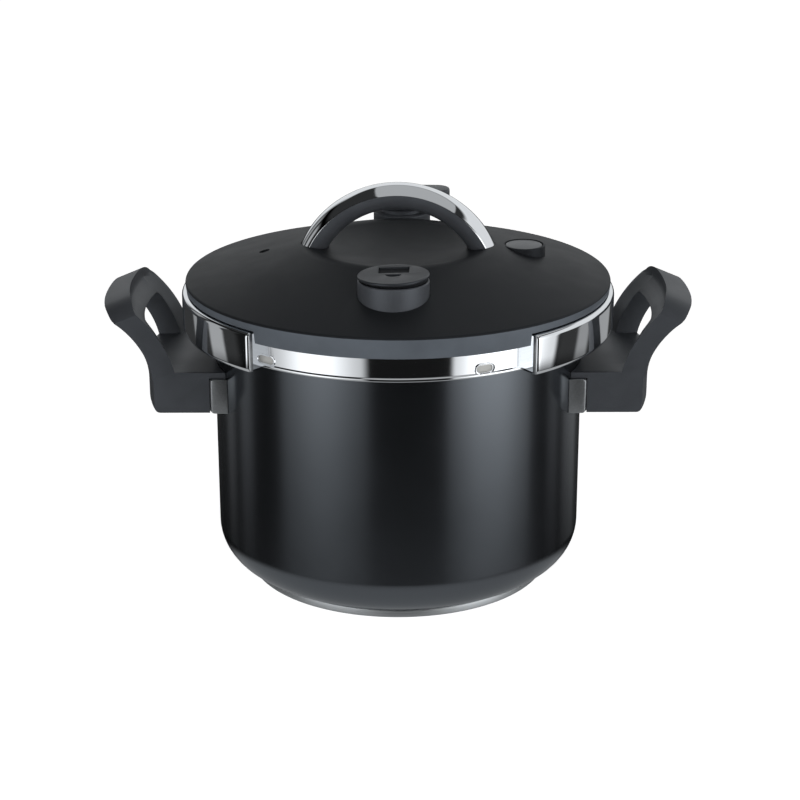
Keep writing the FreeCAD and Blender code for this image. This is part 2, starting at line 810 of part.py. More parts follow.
def make_lid_cover():
    """Moulded cover: a shallow cone up to a ridge, a finger dish, and a notched band."""
    body = new_body("lid_cover")
    profile = new_sketch(body, "cover_profile", "XZ_Plane")
    wall = size.cover_wall
    dish_top = size.ridge_height - size.dish_depth
    dish_radius = chord_radius(size.ridge_radius, size.dish_depth)
    inner_edge = size.cover_radius - wall
    outline(profile, [
        corner(ZERO, dish_top - wall, arc=dish_radius),
        corner(size.ridge_radius, size.ridge_height - wall),
        corner(inner_edge, dome_at(inner_edge) - wall, size.cover_edge_round),
        corner(size.band_radius - wall, size.band_bottom),
        corner(size.band_radius, size.band_bottom),
        corner(size.cover_radius, size.cover_edge, size.cover_edge_round),
        corner(size.ridge_radius, size.ridge_height, arc=-dish_radius),
        corner(ZERO, dish_top),
    ])
    revolve(body, profile)
    fillet(body, size.ridge_round, lambda point, edge: close_to(edge.BoundBox.ZMax, size.ridge_height)
           and close_to(edge.BoundBox.ZMin, size.ridge_height))
    run = size.close_travel * sine(size.jaw_half_angle) + size.slide_gap
    notch_half = size.jaw_half_angle + run / size.cover_radius * (180 / math.pi)
    for name, side in (("notch_right", 1), ("notch_left", -1)):
        notch = new_sketch(body, name, "XZ_Plane")
        box_outline(notch, size.carrier_outer * side, size.jaw_radius * side,
                    jaw_bottom, jaw_top + size.notch_gap)
        groove(body, notch, notch_half * 2)
    boss = new_sketch(body, "button_boss", "XY_Plane", lift=dome_at(size.button_x + size.button_boss_radius)
                      - wall)
    circle(boss, size.button_x, size.button_y, size.button_boss_radius)
    pad(body, boss, size.button_boss_top - dome_at(size.button_x + size.button_boss_radius) + wall)
    pillars = new_sketch(body, "cover_pillars", "XY_Plane", lift=plateau_top)
    for x, y in pillar_places():
        circle(pillars, x, y, size.pillar_radius)
    pillar_reach = size.pillar_x + size.pillar_y * 0.65
    pad(body, pillars, dome_at(pillar_reach) - wall / 2 - plateau_top)
    pilots = new_sketch(body, "pillar_pilots", "XY_Plane", lift=plateau_top)
    for x, y in pillar_places():
        circle(pilots, x, y, size.cover_screw_radius)
    cut(body, pilots, size.cover_screw_length, back=True)
    holes = new_sketch(body, "cover_holes", "XY_Plane", lift=size.cover_edge)
    circle(holes, ZERO, size.regulator_y, size.regulator_radius + size.well_gap)
    circle(holes, ZERO, size.lever_y, size.lever_hub_radius + size.well_gap)
    circle(holes, size.button_x, size.button_y, size.button_radius + size.button_ring_gap)
    circle(holes, size.indicator_x, size.indicator_y, size.indicator_hole)
    slot_half = size.arch_half_width + size.well_gap
    for near, far in ((size.arch_slot_inner, size.arch_slot_outer),
                      (-size.arch_slot_outer, -size.arch_slot_inner)):
        box_outline(holes, near, far, -slot_half, slot_half, size.trim_sheet * 2)
    cut(body, holes, size.arch_top, back=True)
    place_on_lid(body)


def make_cover_screws():
    """Four screws up through the lid pan into the cover's pillars."""
    body = new_body("cover_screws")
    heads = new_sketch(body, "cover_screw_heads", "XY_Plane", lift=plateau_under)
    shanks = new_sketch(body, "cover_screw_shanks", "XY_Plane", lift=plateau_under)
    for x, y in pillar_places():
        circle(heads, x, y, size.cover_screw_radius * 2.2)
        circle(shanks, x, y, size.cover_screw_radius)
    pad(body, heads, size.cover_screw_radius, back=True)
    pad(body, shanks, size.cover_screw_length)
    place_on_lid(body)


def make_arch_grip():
    """Black core of the arch handle, with a leg at each end that stands on the lid pan."""
    body = new_body("arch_grip")
    section = new_sketch(body, "grip_section", "YZ_Plane")
    edge = size.arch_radius - size.arch_crown
    inner_half = size.arch_half_width - size.trim_sheet - 0.1
    crown = size.arch_crown - size.trim_sheet - 0.1
    side = size.arch_half_width - 0.2
    ledge = edge - 0.1
    belly = edge - size.arch_side
    outline(section, [
        corner(-inner_half, ledge, arc=-chord_radius(inner_half, crown)),
        corner(inner_half, ledge),
        corner(side, ledge),
        corner(side, belly, arc=-chord_radius(side, belly - size.arch_inner_radius)),
        corner(-side, belly),
        corner(-side, ledge),
    ])
    revolve(body, section, size.arch_half_angle * 2, "H_Axis")
    foot = plateau_top - arch_axis
    legs = new_sketch(body, "arch_legs", "XY_Plane", lift=foot)
    for near, far in ((size.leg_inner_x, size.leg_outer_x), (-size.leg_outer_x, -size.leg_inner_x)):
        box_outline(legs, near, far, -size.leg_half_width, size.leg_half_width, size.trim_sheet * 2)
    leg_top = size.ridge_height - size.arch_crown * 0.7 - plateau_top
    pad(body, legs, leg_top)
    bores = new_sketch(body, "arch_bores", "XY_Plane", lift=foot)
    middle = (size.leg_inner_x + size.leg_outer_x) / 2
    for x in (middle, -middle):
        circle(bores, x, ZERO, size.arch_screw_radius)
    cut(body, bores, size.arch_screw_length, back=True)
    place_on_lid(body, z=arch_axis)


def make_arch_trim():
    """Chrome strip over the top of the arch."""
    body = new_body("arch_trim")
    section = new_sketch(body, "trim_section", "YZ_Plane")
    edge = size.arch_radius - size.arch_crown
    half = size.arch_half_width
    inner_half = half - size.trim_sheet
    outline(section, [
        corner(half, edge, arc=chord_radius(half, size.arch_crown)),
        corner(-half, edge),
        corner(-inner_half, edge, arc=-chord_radius(inner_half, size.arch_crown - size.trim_sheet)),
        corner(inner_half, edge),
    ])
    revolve(body, section, size.arch_half_angle * 2, "H_Axis")
    place_on_lid(body, z=arch_axis)


def make_arch_screws():
    """Two screws up through the lid pan into the legs of the arch."""
    body = new_body("arch_screws")
    middle = (size.leg_inner_x + size.leg_outer_x) / 2
    heads = new_sketch(body, "arch_screw_heads", "XY_Plane", lift=plateau_under)
    shanks = new_sketch(body, "arch_screw_shanks", "XY_Plane", lift=plateau_under)
    for x in (middle, -middle):
        circle(heads, x, ZERO, size.arch_screw_radius * 1.9)
        circle(shanks, x, ZERO, size.arch_screw_radius)
    pad(body, heads, size.arch_screw_radius, back=True)
    pad(body, shanks, size.arch_screw_length)
    place_on_lid(body)


def make_guide_studs():
    """Four shouldered studs on the lid pan that hold and guide the carriers."""
    body = new_body("guide_studs")
    collars = new_sketch(body, "stud_collars", "XY_Plane", lift=plateau_top)
    necks = new_sketch(body, "stud_necks", "XY_Plane", lift=plateau_top)
    heads = new_sketch(body, "stud_heads", "XY_Plane", lift=carrier_top + size.seal_gap)
    for x in (size.stud_x, -size.stud_x):
        for y in (size.stud_y, -size.stud_y):
            circle(collars, x, y, size.stud_head_radius)
            circle(necks, x, y, size.stud_radius)
            circle(heads, x, y, size.stud_head_radius)
    pad(body, collars, jaw_top - size.seal_gap - plateau_top)
    pad(body, necks, carrier_top + size.seal_gap * 2 - plateau_top)
    pad(body, heads, size.stud_head)
    place_on_lid(body)


def make_lever_pivot():
    """Steel pin on the lid pan that the pinion turns on."""
    body = new_body("lever_pivot")
    profile = new_sketch(body, "pivot_profile", "XZ_Plane")
    collar = jaw_top - size.seal_gap * 3
    outline(profile, [
        corner(ZERO, plateau_top),
        corner(size.shaft_radius, plateau_top),
        corner(size.shaft_radius, collar),
        corner(size.pivot_radius, collar),
        corner(size.pivot_radius, carrier_top + size.pinion_face, size.pivot_gap * 5),
        corner(ZERO, carrier_top + size.pinion_face),
    ])
    revolve(body, profile)
    place_on_lid(body, y=size.lever_y)


# ---------------------------------------------------------------- regulator
def make_regulator_seat():
    """Steam pipe with a hexagon flange, through the lid pan."""
    body = new_body("regulator_seat")
    flange = new_sketch(body, "seat_flange", "XY_Plane", lift=plateau_top)
    hexagon(flange, size.pipe_flange_radius)
    pad(body, flange, size.pipe_flange)
    pipe = new_sketch(body, "seat_pipe", "XZ_Plane")
    outline(pipe, [
        corner(ZERO, size.pipe_bottom),
        corner(size.pipe_radius, size.pipe_bottom),
        corner(size.pipe_radius, size.pipe_top),
        corner(ZERO, size.pipe_top),
    ])
    revolve(body, pipe)
    bore = new_sketch(body, "seat_bore", "XY_Plane")
    circle(bore, ZERO, ZERO, size.pipe_bore)
    cut(body, bore)
    place_on_lid(body, y=size.regulator_y)


def make_regulator_nut():
    """Hexagon nut that clamps the steam pipe under the lid pan."""
    body = new_body("regulator_nut")
    outer = new_sketch(body, "nut_outer", "XY_Plane", lift=plateau_under)
    hexagon(outer, size.nut_flat)
    pad(body, outer, size.nut_thick, back=True)
    bore = new_sketch(body, "nut_bore", "XY_Plane")
    circle(bore, ZERO, ZERO, size.pipe_radius)
    cut(body, bore)
    place_on_lid(body, y=size.regulator_y)


def make_regulator_body():
    """Turning cup of the regulator, open below, with a hub that rides on the steam pipe."""
    body = new_body("regulator_body")
    profile = new_sketch(body, "regulator_profile", "XZ_Plane")
    wall = size.regulator_wall
    bore = size.pipe_radius + size.pipe_gap
    roof = regulator_shell_top - wall
    outline(profile, [
        corner(bore, size.regulator_bottom),
        corner(size.hub_radius, size.regulator_bottom),
        corner(size.hub_radius, roof),
        corner(size.regulator_radius - wall, roof),
        corner(size.regulator_radius - wall, size.regulator_bottom),
        corner(size.regulator_radius, size.regulator_bottom),
        corner(size.regulator_radius, regulator_shell_top, size.seal_gap * 2),
        corner(size.cap_neck_radius, regulator_shell_top),
        corner(size.cap_neck_radius, cap_under),
        corner(ZERO, cap_under),
        corner(ZERO, regulator_shell_top),
        corner(bore, regulator_shell_top),
    ])
    revolve(body, profile)
    place_on_lid(body, y=size.regulator_y)


def make_regulator_cap():
    """Cap of the regulator, with a rectangular recess and a half-round finger mark."""
    body = new_body("regulator_cap")
    profile = new_sketch(body, "cap_profile", "XZ_Plane")
    outline(profile, [
        corner(ZERO, cap_under),
        corner(size.cap_radius, cap_under, size.cap_thick * 0.4),
        corner(size.cap_radius, size.regulator_top, size.seal_gap * 2),
        corner(ZERO, size.regulator_top),
    ])
    revolve(body, profile)
    marks = new_sketch(body, "cap_marks", "XY_Plane", lift=size.regulator_top)
    half = size.cap_slot_width / 2
    box_outline(marks, -half, half, size.cap_slot_near, size.cap_slot_far, size.seal_gap * 2)
    mark = size.cap_mark_radius
    outline(marks, [
        corner(mark, -size.cap_mark_near),
        corner(-mark, -size.cap_mark_near, arc=mark * 1.02),
    ])
    cut(body, marks, size.cap_recess)
    place_on_lid(body, y=size.regulator_y)


def make_relief_valve():
    """Valve cone that closes the steam pipe, with a stem for its spring."""
    body = new_body("relief_valve")
    profile = new_sketch(body, "relief_profile", "XZ_Plane")
    seat = size.pipe_top + size.pipe_gap
    disc_top = seat + size.relief_disc
    outline(profile, [
        corner(ZERO, seat),
        corner(size.relief_radius, seat),
        corner(size.relief_radius, disc_top),
        corner(size.relief_stem_radius, disc_top + size.relief_cone),
        corner(size.relief_stem_radius, disc_top + size.relief_cone * 2),
        corner(ZERO, disc_top + size.relief_cone * 2),
    ])
    revolve(body, profile)
    place_on_lid(body, y=size.regulator_y)


def make_spring(label, ring, wire, bottom, top, turns, x=ZERO, y=ZERO):
    """Compression spring about a vertical axis, between two levels."""
    body = new_body(label)
    section = new_sketch(body, label + "_wire", "XZ_Plane")
    circle(section, ring, bottom + wire, wire)
    helix = body.newObject("PartDesign::AdditiveHelix", label + "_coil")
    helix.Profile = section
    helix.ReferenceAxis = (section, ["V_Axis"])
    helix.Mode = "height-turns-angle"
    helix.Turns = turns
    bind(helix, "Height", top - bottom - wire * 2)
    document.recompute()
    place_on_lid(body, x=x, y=y)


# ---------------------------------------------------------------- button, indicator, valve
def make_release_button():
    """Push button: a flat cap with a short skirt and a long stem."""
    body = new_body("release_button")
    profile = new_sketch(body, "button_profile", "XZ_Plane")
    skirt = button_under - size.button_skirt
    stem_end = plateau_top + size.button_travel + size.seal_gap * 2
    outline(profile, [
        corner(ZERO, stem_end),
        corner(size.button_stem_radius, stem_end, size.seal_gap * 2),
        corner(size.button_stem_radius, button_under),
        corner(size.button_radius - size.button_wall, button_under),
        corner(size.button_radius - size.button_wall, skirt),
        corner(size.button_radius, skirt),
        corner(size.button_radius, button_top, size.button_wall / 2),
        corner(ZERO, button_top),
    ])
    revolve(body, profile)
    place_on_lid(body, x=size.button_x, y=size.button_y)


def make_button_guide():
    """Tube on the lid pan that guides the button's stem, with a collar for its spring."""
    body = new_body("button_guide")
    profile = new_sketch(body, "guide_profile", "XZ_Plane")
    bore = size.button_stem_radius + size.seal_gap
    outline(profile, [
        corner(bore, plateau_top),
        corner(size.button_seat_radius, plateau_top),
        corner(size.button_seat_radius, plateau_top + size.button_seat / 2),
        corner(size.button_guide_radius, plateau_top + size.button_seat / 2),
        corner(size.button_guide_radius, size.button_seat_height),
        corner(size.button_seat_radius, size.button_seat_height),
        corner(size.button_seat_radius, size.button_seat_height + size.button_seat),
        corner(size.button_guide_radius, size.button_seat_height + size.button_seat),
        corner(size.button_guide_radius, size.button_guide_top),
        corner(bore, size.button_guide_top),
    ])
    revolve(body, profile)
    place_on_lid(body, x=size.button_x, y=size.button_y)


def make_indicator_grommet():
    """Silicone grommet in the lid pan that the pressure indicator slides through."""
    body = new_body("indicator_grommet")
    profile = new_sketch(body, "grommet_profile", "XZ_Plane")
    bore = size.indicator_pin_radius + size.seal_gap
    outline(profile, [
        corner(bore, plateau_under - size.grommet_thick),
        corner(size.grommet_flange, plateau_under - size.grommet_thick),
        corner(size.grommet_flange, plateau_under),
        corner(size.grommet_neck, plateau_under),
        corner(size.grommet_neck, plateau_top),
        corner(size.grommet_flange, plateau_top),
        corner(size.grommet_flange, plateau_top + size.grommet_thick),
        corner(bore, plateau_top + size.grommet_thick),
    ])
    revolve(body, profile)
    place_on_lid(body, x=size.indicator_x, y=size.indicator_y)


def make_indicator_pin():
    """Pressure indicator: a headed pin whose cap shows in the cover's hole."""
    body = new_body("indicator_pin")
    profile = new_sketch(body, "pin_profile", "XZ_Plane")
    seal_top = plateau_under - size.grommet_thick - size.indicator_travel - size.seal_gap
    head_top = seal_top - size.indicator_seal
    cap_bottom = size.indicator_cap_top - size.indicator_cap_length
    outline(profile, [
        corner(ZERO, head_top - size.indicator_head),
        corner(size.indicator_head_radius, head_top - size.indicator_head),
        corner(size.indicator_head_radius, head_top),
        corner(size.indicator_pin_radius, head_top),
        corner(size.indicator_pin_radius, cap_bottom),
        corner(size.indicator_cap_radius, cap_bottom),
        corner(size.indicator_cap_radius, size.indicator_cap_top, size.seal_gap * 3),
        corner(ZERO, size.indicator_cap_top),
    ])
    revolve(body, profile)
    place_on_lid(body, x=size.indicator_x, y=size.indicator_y)


def make_indicator_seal():
    """Small ring that seals the indicator against its grommet when it is up."""
    body = new_body("indicator_seal")
    profile = new_sketch(body, "seal_profile", "XZ_Plane")
    seal_top = plateau_under - size.grommet_thick - size.indicator_travel - size.seal_gap
    box_outline(profile, size.indicator_pin_radius, size.indicator_head_radius,
                seal_top - size.indicator_seal, seal_top)
    revolve(body, profile)
    place_on_lid(body, x=size.indicator_x, y=size.indicator_y)


def make_safety_valve():
    """Second valve: a hexagon body with a round cap, screwed through the lid pan."""
    body = new_body("safety_valve")
    hexagonal = new_sketch(body, "valve_hexagon", "XY_Plane", lift=plateau_top)
    hexagon(hexagonal, size.valve_flat)
    pad(body, hexagonal, size.valve_height)
    cap = new_sketch(body, "valve_cap", "XY_Plane", lift=plateau_top)
    circle(cap, ZERO, ZERO, size.valve_cap_radius)
    pad(body, cap, size.valve_height + size.valve_cap_height)
    neck = new_sketch(body, "valve_neck_ring", "XY_Plane", lift=plateau_top)
    circle(neck, ZERO, ZERO, size.valve_neck)
    pad(body, neck, size.valve_height, back=True)
    place_on_lid(body, x=size.valve_x, y=size.valve_y)


# ---------------------------------------------------------------- jaws
def make_jaw(label, turn):
    """Chrome jaw: a C-shaped rail round the lid's edge, closed by a wall at each end."""
    body = new_body(label)
    profile = new_sketch(body, label + "_profile", "XZ_Plane")
    wall = size.jaw_sheet
    inner = size.jaw_radius - wall
    lip = size.rim_radius + size.jaw_lip_clear
    outline(profile, [
        corner(lip, jaw_bottom),
        corner(size.jaw_radius, jaw_bottom, size.jaw_bend),
        corner(size.jaw_radius, jaw_top, size.jaw_bend),
        corner(size.jaw_plate_inner, jaw_top),
        corner(size.jaw_plate_inner, jaw_plate_under),
        corner(jaw_return_radius, jaw_plate_under),
        corner(jaw_return_radius, jaw_lip_top),
        corner(lip, jaw_lip_top),
    ])
    revolve(body, profile, size.jaw_half_angle * 2)
    channel = new_sketch(body, label + "_channel", "XZ_Plane")
    outline(channel, [
        corner(jaw_return_radius - wall, jaw_lip_top),
        corner(inner, jaw_lip_top, size.jaw_bend - wall),
        corner(inner, jaw_plate_under, size.jaw_bend - wall),
        corner(jaw_return_radius - wall, jaw_plate_under),
    ])
    groove(body, channel, size.jaw_half_angle * 2 - wall / size.jaw_radius * (360 / math.pi))
    bores = new_sketch(body, label + "_bores", "XY_Plane", lift=jaw_plate_under - wall)
    for x, y in rivet_places():
        circle(bores, x, y, size.rivet_radius)
    cut(body, bores, size.cover_wall * 2, back=True)
    place_on_lid(body, turn=turn)


def rivet_places():
    """Where three rivets join a jaw to its carrier."""
    swing = size.rivet_angle
    side = (size.rivet_ring * cosine(swing), size.rivet_ring * sine(swing))
    return [(size.rivet_ring, ZERO), side, (side[0], -side[1])]


def rack_tooth():
    """Half widths of a rack tooth at its root and tip."""
    middle = rack_pitch / 4 - size.backlash / 4
    slope = math.tan(PRESSURE_ANGLE)
    return middle + module * (ROOT_DEPTH * slope), middle - module * (RACK_ADDENDUM * slope)


def make_carrier(label, side):
    """Flat steel carrier of a jaw, with guide slots and a rack arm beside the pinion.

    side is +1 for the right carrier, whose rack runs behind the pinion, and -1 for
    the left one, whose rack runs in front of it.
    """
    body = new_body(label)
    rack_side = side
    pitch_line = size.lever_y + size.pitch_radius * rack_side
    root_line = pitch_line + module * (ROOT_DEPTH * rack_side)
    back_line = root_line + size.rack_depth * rack_side
    half = size.carrier_half_width
    end = size.rack_reach * -side
    neck = size.carrier_half_width * 1.4
    if side > 0:
        rack = [
            corner(size.carrier_outer * 0.75, size.carrier_outer * 0.75),
            corner(size.carrier_outer * 0.62, back_line),
            corner(end, back_line),
            corner(end, root_line),
            corner(size.carrier_inner * 0.8, root_line),
            corner(size.carrier_inner, size.lever_y),
        ]
    else:
        rack = [
            corner(size.carrier_outer * -0.83, root_line),
            corner(end, root_line),
            corner(end, back_line),
            corner(size.carrier_inner * -0.85, back_line),
            corner(-size.carrier_inner, neck),
        ]
    x_outer = size.carrier_outer * side
    x_inner = size.carrier_inner * side
    plan = new_sketch(body, label + "_plan", "XY_Plane", lift=jaw_top)
    outline(plan, [
        corner(x_inner, -half),
        corner(x_outer, -half),
        corner(x_outer, half),
        corner(size.carrier_outer * (0.92 * side), neck),
        *rack,
    ])
    pad(body, plan, size.carrier_sheet)
    tooth = new_sketch(body, label + "_tooth", "XY_Plane", lift=jaw_top)
    root_half, tip_half = rack_tooth()
    tip_line = pitch_line - module * (RACK_ADDENDUM * rack_side)
    sunk = root_line + size.backlash * rack_side
    first = rack_pitch * (-(RACK_TEETH // 2))
    outline(tooth, [
        corner(first - root_half, root_line),
        corner(first - root_half, sunk),
        corner(first + root_half, sunk),
        corner(first + root_half, root_line),
        corner(first + tip_half, tip_line),
        corner(first - tip_half, tip_line),
    ])
    pad(body, tooth, size.carrier_sheet)
    row = body.newObject("PartDesign::LinearPattern", label + "_teeth")
    row.Originals = [body.Tip]
    row.Direction = (tooth, ["H_Axis"])
    row.Occurrences = RACK_TEETH
    bind(row, "Length", rack_pitch * (RACK_TEETH - 1))
    body.Tip = row
    document.recompute()
    openings = new_sketch(body, label + "_openings", "XY_Plane")
    for y in (size.stud_y, -size.stud_y):
        travel_slot(openings, size.stud_x, y, size.stud_radius + size.slide_gap, side)
    if side > 0:
        travel_slot(openings, size.button_x, size.button_y, size.button_guide_radius + size.slide_gap, side)
    else:
        travel_slot(openings, -size.indicator_x, size.indicator_y,
                    size.indicator_pin_radius + size.slide_gap * 2, side)
    for x, y in rivet_places():
        circle(openings, x * side, y, size.rivet_radius)
    cut(body, openings)
    place_on_lid(body)


def travel_slot(sketch, x, y, reach, side):
    """A slot that leaves room round something on the lid over a jaw's whole travel."""
    near = x - size.open_travel - reach
    far = x + size.close_travel + reach
    low, high = (near, far) if side > 0 else (-far, -near)
    box_outline(sketch, low, high, y - reach, y + reach, reach * 0.9)


def make_rivets(label, turn):
    """Three rivets through a jaw and its carrier."""
    body = new_body(label)
    bottom = new_sketch(body, label + "_under", "XY_Plane", lift=jaw_plate_under)
    shank = new_sketch(body, label + "_shank", "XY_Plane", lift=jaw_plate_under)
    top = new_sketch(body, label + "_top", "XY_Plane", lift=carrier_top)
    for x, y in rivet_places():
        circle(bottom, x, y, size.rivet_head_radius)
        circle(shank, x, y, size.rivet_radius)
        circle(top, x, y, size.rivet_head_radius)
    pad(body, bottom, size.seal_gap, back=True)
    pad(body, shank, carrier_top - jaw_plate_under)
    pad(body, top, size.rivet_head)
    place_on_lid(body, turn=turn)


# ---------------------------------------------------------------- locking lever
def involute(radius):
    """Involute function at a radius, in units of the pitch radius."""
    angle = math.acos(min(math.cos(PRESSURE_ANGLE) / radius, 1.0))
    return math.tan(angle) - angle


def gap_corner(radius):
    """A corner of a pinion's tooth gap, at a radius in units of the pitch radius."""
    thinning = SIZES["backlash"] / (4 * SIZES["pitch_radius"])
    pitch_involute = math.tan(PRESSURE_ANGLE) - PRESSURE_ANGLE
    half = math.pi / (2 * PINION_TEETH) + thinning - pitch_involute + involute(radius)
    return (size.pitch_radius * (radius * math.sin(half)), size.pitch_radius * (radius * math.cos(half)))


def make_lever_pinion():
    """Pinion between the two racks, on the shaft that carries the locking lever."""
    body = new_body("lever_pinion")
    bottom = jaw_top - size.seal_gap * 2
    blank = new_sketch(body, "pinion_blank", "XY_Plane", lift=bottom)
    circle(blank, ZERO, ZERO, size.pitch_radius + module)
    pad(body, blank, size.pinion_face)
    share = 2 / PINION_TEETH
    root, base, tip = 1 - ROOT_DEPTH * share, math.cos(PRESSURE_ANGLE), 1 + share
    tip_x, tip_y = gap_corner(tip)
    base_x, base_y = gap_corner(base)
    root_x, root_y = base_x * (root / base), base_y * (root / base)
    outside = size.pitch_radius + module * 1.5
    flank = size.pitch_radius * 0.38
    gap = new_sketch(body, "pinion_gap", "XY_Plane", lift=bottom)
    outline(gap, [
        corner(root_x, root_y),
        corner(base_x, base_y, arc=-flank),
        corner(tip_x, tip_y),
        corner(tip_x, outside),
        corner(-tip_x, outside),
        corner(-tip_x, tip_y, arc=-flank),
        corner(-base_x, base_y),
        corner(-root_x, root_y),
    ])
    cut(body, gap, size.pinion_face, back=True)
    ring = body.newObject("PartDesign::PolarPattern", "pinion_gaps")
    ring.Originals = [body.Tip]
    ring.Axis = (gap, ["N_Axis"])
    ring.Angle = 360
    ring.Occurrences = PINION_TEETH
    body.Tip = ring
    document.recompute()
    shaft = new_sketch(body, "pinion_shaft", "XY_Plane", lift=bottom + size.pinion_face)
    circle(shaft, ZERO, ZERO, size.shaft_radius)
    pad(body, shaft, size.lever_hub_top - bottom - size.pinion_face)
    bore = new_sketch(body, "pinion_bore", "XY_Plane", lift=bottom)
    circle(bore, ZERO, ZERO, size.pivot_radius + size.pivot_gap)
    cut(body, bore, size.pinion_face * 2, back=True)
    flat = new_sketch(body, "shaft_flat", "XY_Plane", lift=size.lever_bottom)
    box_outline(flat, -size.shaft_radius, size.shaft_radius, size.shaft_radius * 0.6, size.shaft_radius)
    cut(body, flat, size.lever_top, back=True)
    place_on_lid(body, y=size.lever_y)


def make_lever_knob():
    """Locking lever: a round hub in the cover, a neck, and a grip that points to the right."""
    body = new_body("lever_knob")
    hub = new_sketch(body, "lever_hub", "XZ_Plane")
    grip_bottom = size.lever_hub_top + size.lever_neck
    outline(hub, [
        corner(ZERO, size.lever_bottom),
        corner(size.lever_hub_radius, size.lever_bottom),
        corner(size.lever_hub_radius, size.lever_hub_top, size.seal_gap * 3),
        corner(size.lever_neck_radius, size.lever_hub_top),
        corner(size.lever_neck_radius, grip_bottom),
        corner(ZERO, grip_bottom),
    ])
    revolve(body, hub)
    grip = new_sketch(body, "lever_grip", "XY_Plane", lift=grip_bottom)
    box_outline(grip, -size.lever_back, size.lever_reach, -size.lever_half_width, size.lever_half_width,
                size.lever_half_width * 0.9)
    pad(body, grip, size.lever_top - grip_bottom)
    fillet(body, size.lever_round, lambda point, edge: close_to(edge.BoundBox.ZMin, size.lever_top))
    bore = new_sketch(body, "lever_bore", "XY_Plane", lift=size.lever_bottom)
    outline(bore, d_shape())
    cut(body, bore, size.lever_hub_top - size.lever_bottom + size.seal_gap, back=True)
    hollow = new_sketch(body, "lever_hollow", "XZ_Plane")
    wall = size.regulator_wall
    box_outline(hollow, size.shaft_radius + wall, size.lever_hub_radius - wall,
                size.lever_bottom, size.lever_hub_top - wall)
    groove(body, hollow)
    place_on_lid(body, y=size.lever_y)


def d_shape():
    """Outline of the flatted bore that grips the lever's shaft."""
    flat = size.shaft_radius * 0.6
    side = size.shaft_radius * 0.8
    return [
        corner(side, flat),
        corner(-side, flat, arc=size.shaft_radius),
        corner(ZERO, -size.shaft_radius, arc=size.shaft_radius),
    ]


# ---------------------------------------------------------------- the whole cooker
def make_all():
    make_pot_body()
    make_base_plate()
    for side_name, turn in (("left", 180.0), ("right", 0.0)):
        make_bracket("handle_bracket_" + side_name, turn)
        make_side_handle("side_handle_" + side_name, turn)
        make_jaw("jaw_" + side_name, turn)
        make_rivets("jaw_rivets_" + side_name, turn)
    make_handle_screws()
    make_lid_pan()
    make_lid_gasket()
    make_lid_cover()
    make_cover_screws()
    make_arch_grip()
    make_arch_trim()
    make_arch_screws()
    make_guide_studs()
    make_lever_pivot()
    make_carrier("carrier_left", -1)
    make_carrier("carrier_right", 1)
    make_lever_pinion()
    make_lever_knob()
    make_regulator_seat()
    make_regulator_nut()
    make_regulator_body()
    make_regulator_cap()
    make_relief_valve()
    valve_shoulder = size.pipe_top + size.pipe_gap + size.relief_disc
    make_spring("relief_spring", size.relief_spring_radius, size.relief_wire, valve_shoulder + size.relief_cone,
                regulator_shell_top, 4, y=size.regulator_y)
    make_release_button()
    make_button_guide()
    make_spring("button_spring", size.button_spring_radius, size.button_wire,
                size.button_seat_height + size.button_seat, button_under, 5, x=size.button_x, y=size.button_y)
    make_indicator_grommet()
    make_indicator_pin()
    make_indicator_seal()
    make_safety_valve()


def check_and_export():
    """Stop on any failed object or bad shape, then write each sub-part's file."""
    document.recompute()
    for item in document.Objects:
        if "Invalid" in item.State or "Error" in item.State:
            raise ValueError(f"{item.Label} failed: {item.State}")
    for piece in pieces:
        if piece.Shape.isNull() or not piece.Shape.isValid():
            raise ValueError(f"{piece.Label} has no valid shape")
    os.makedirs("parts", exist_ok=True)
    for piece in pieces:
        piece.Shape.exportStep(f"parts/{piece.Label}.step")
        print(f"{piece.Label}: {len(piece.Shape.Solids)} solids, {piece.Shape.Volume:.0f} mm3")


make_all()
check_and_export()
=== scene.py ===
"""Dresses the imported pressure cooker: smooth finished pieces, materials, studio and camera."""
import functools
import math

import bmesh
import bpy
from mathutils import Matrix, Vector


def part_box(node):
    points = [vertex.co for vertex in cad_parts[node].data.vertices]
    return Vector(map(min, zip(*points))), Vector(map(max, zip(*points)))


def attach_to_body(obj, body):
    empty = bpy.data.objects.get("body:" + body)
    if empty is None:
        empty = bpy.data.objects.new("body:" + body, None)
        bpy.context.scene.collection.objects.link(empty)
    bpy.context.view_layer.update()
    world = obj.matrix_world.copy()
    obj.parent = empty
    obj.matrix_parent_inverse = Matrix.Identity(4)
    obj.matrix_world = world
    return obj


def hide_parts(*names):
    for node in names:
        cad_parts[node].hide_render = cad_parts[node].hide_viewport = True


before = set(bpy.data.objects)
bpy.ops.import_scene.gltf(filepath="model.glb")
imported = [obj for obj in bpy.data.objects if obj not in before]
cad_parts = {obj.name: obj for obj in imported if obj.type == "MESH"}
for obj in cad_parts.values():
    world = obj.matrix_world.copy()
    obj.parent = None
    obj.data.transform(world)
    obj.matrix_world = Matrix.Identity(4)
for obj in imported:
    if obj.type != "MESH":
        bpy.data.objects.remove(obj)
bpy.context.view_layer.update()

bl_info = {
    "name": "Pressure Cooker Dresser",
    "version": (1, 0, 0),
    "blender": (4, 5, 0),
    "location": "3D View > Sidebar > Cooker",
    "description": "Builds the visible pieces and finishes of a stovetop pressure cooker",
    "category": "Object",
}

MM = 0.001
# Steps round a turned piece, the pot and the lid, and the angle from which an edge is shaded sharp.
AROUND = 192
POT_AROUND = 256
LID_AROUND = 320
SHARP = math.radians(35.0)
# Points closer than this are one point.
TOUCHING = 1e-6


@functools.cache
def span(node_name):
    """Low and high corner of a CAD node."""
    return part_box(node_name)


def lid_turn():
    """How far the lid stands turned on the pot: the regulator's place shows it."""
    low, high = span("regulator_cap")
    return math.atan2(low.x + high.x, -low.y - high.y)


LID_TURN = lid_turn()


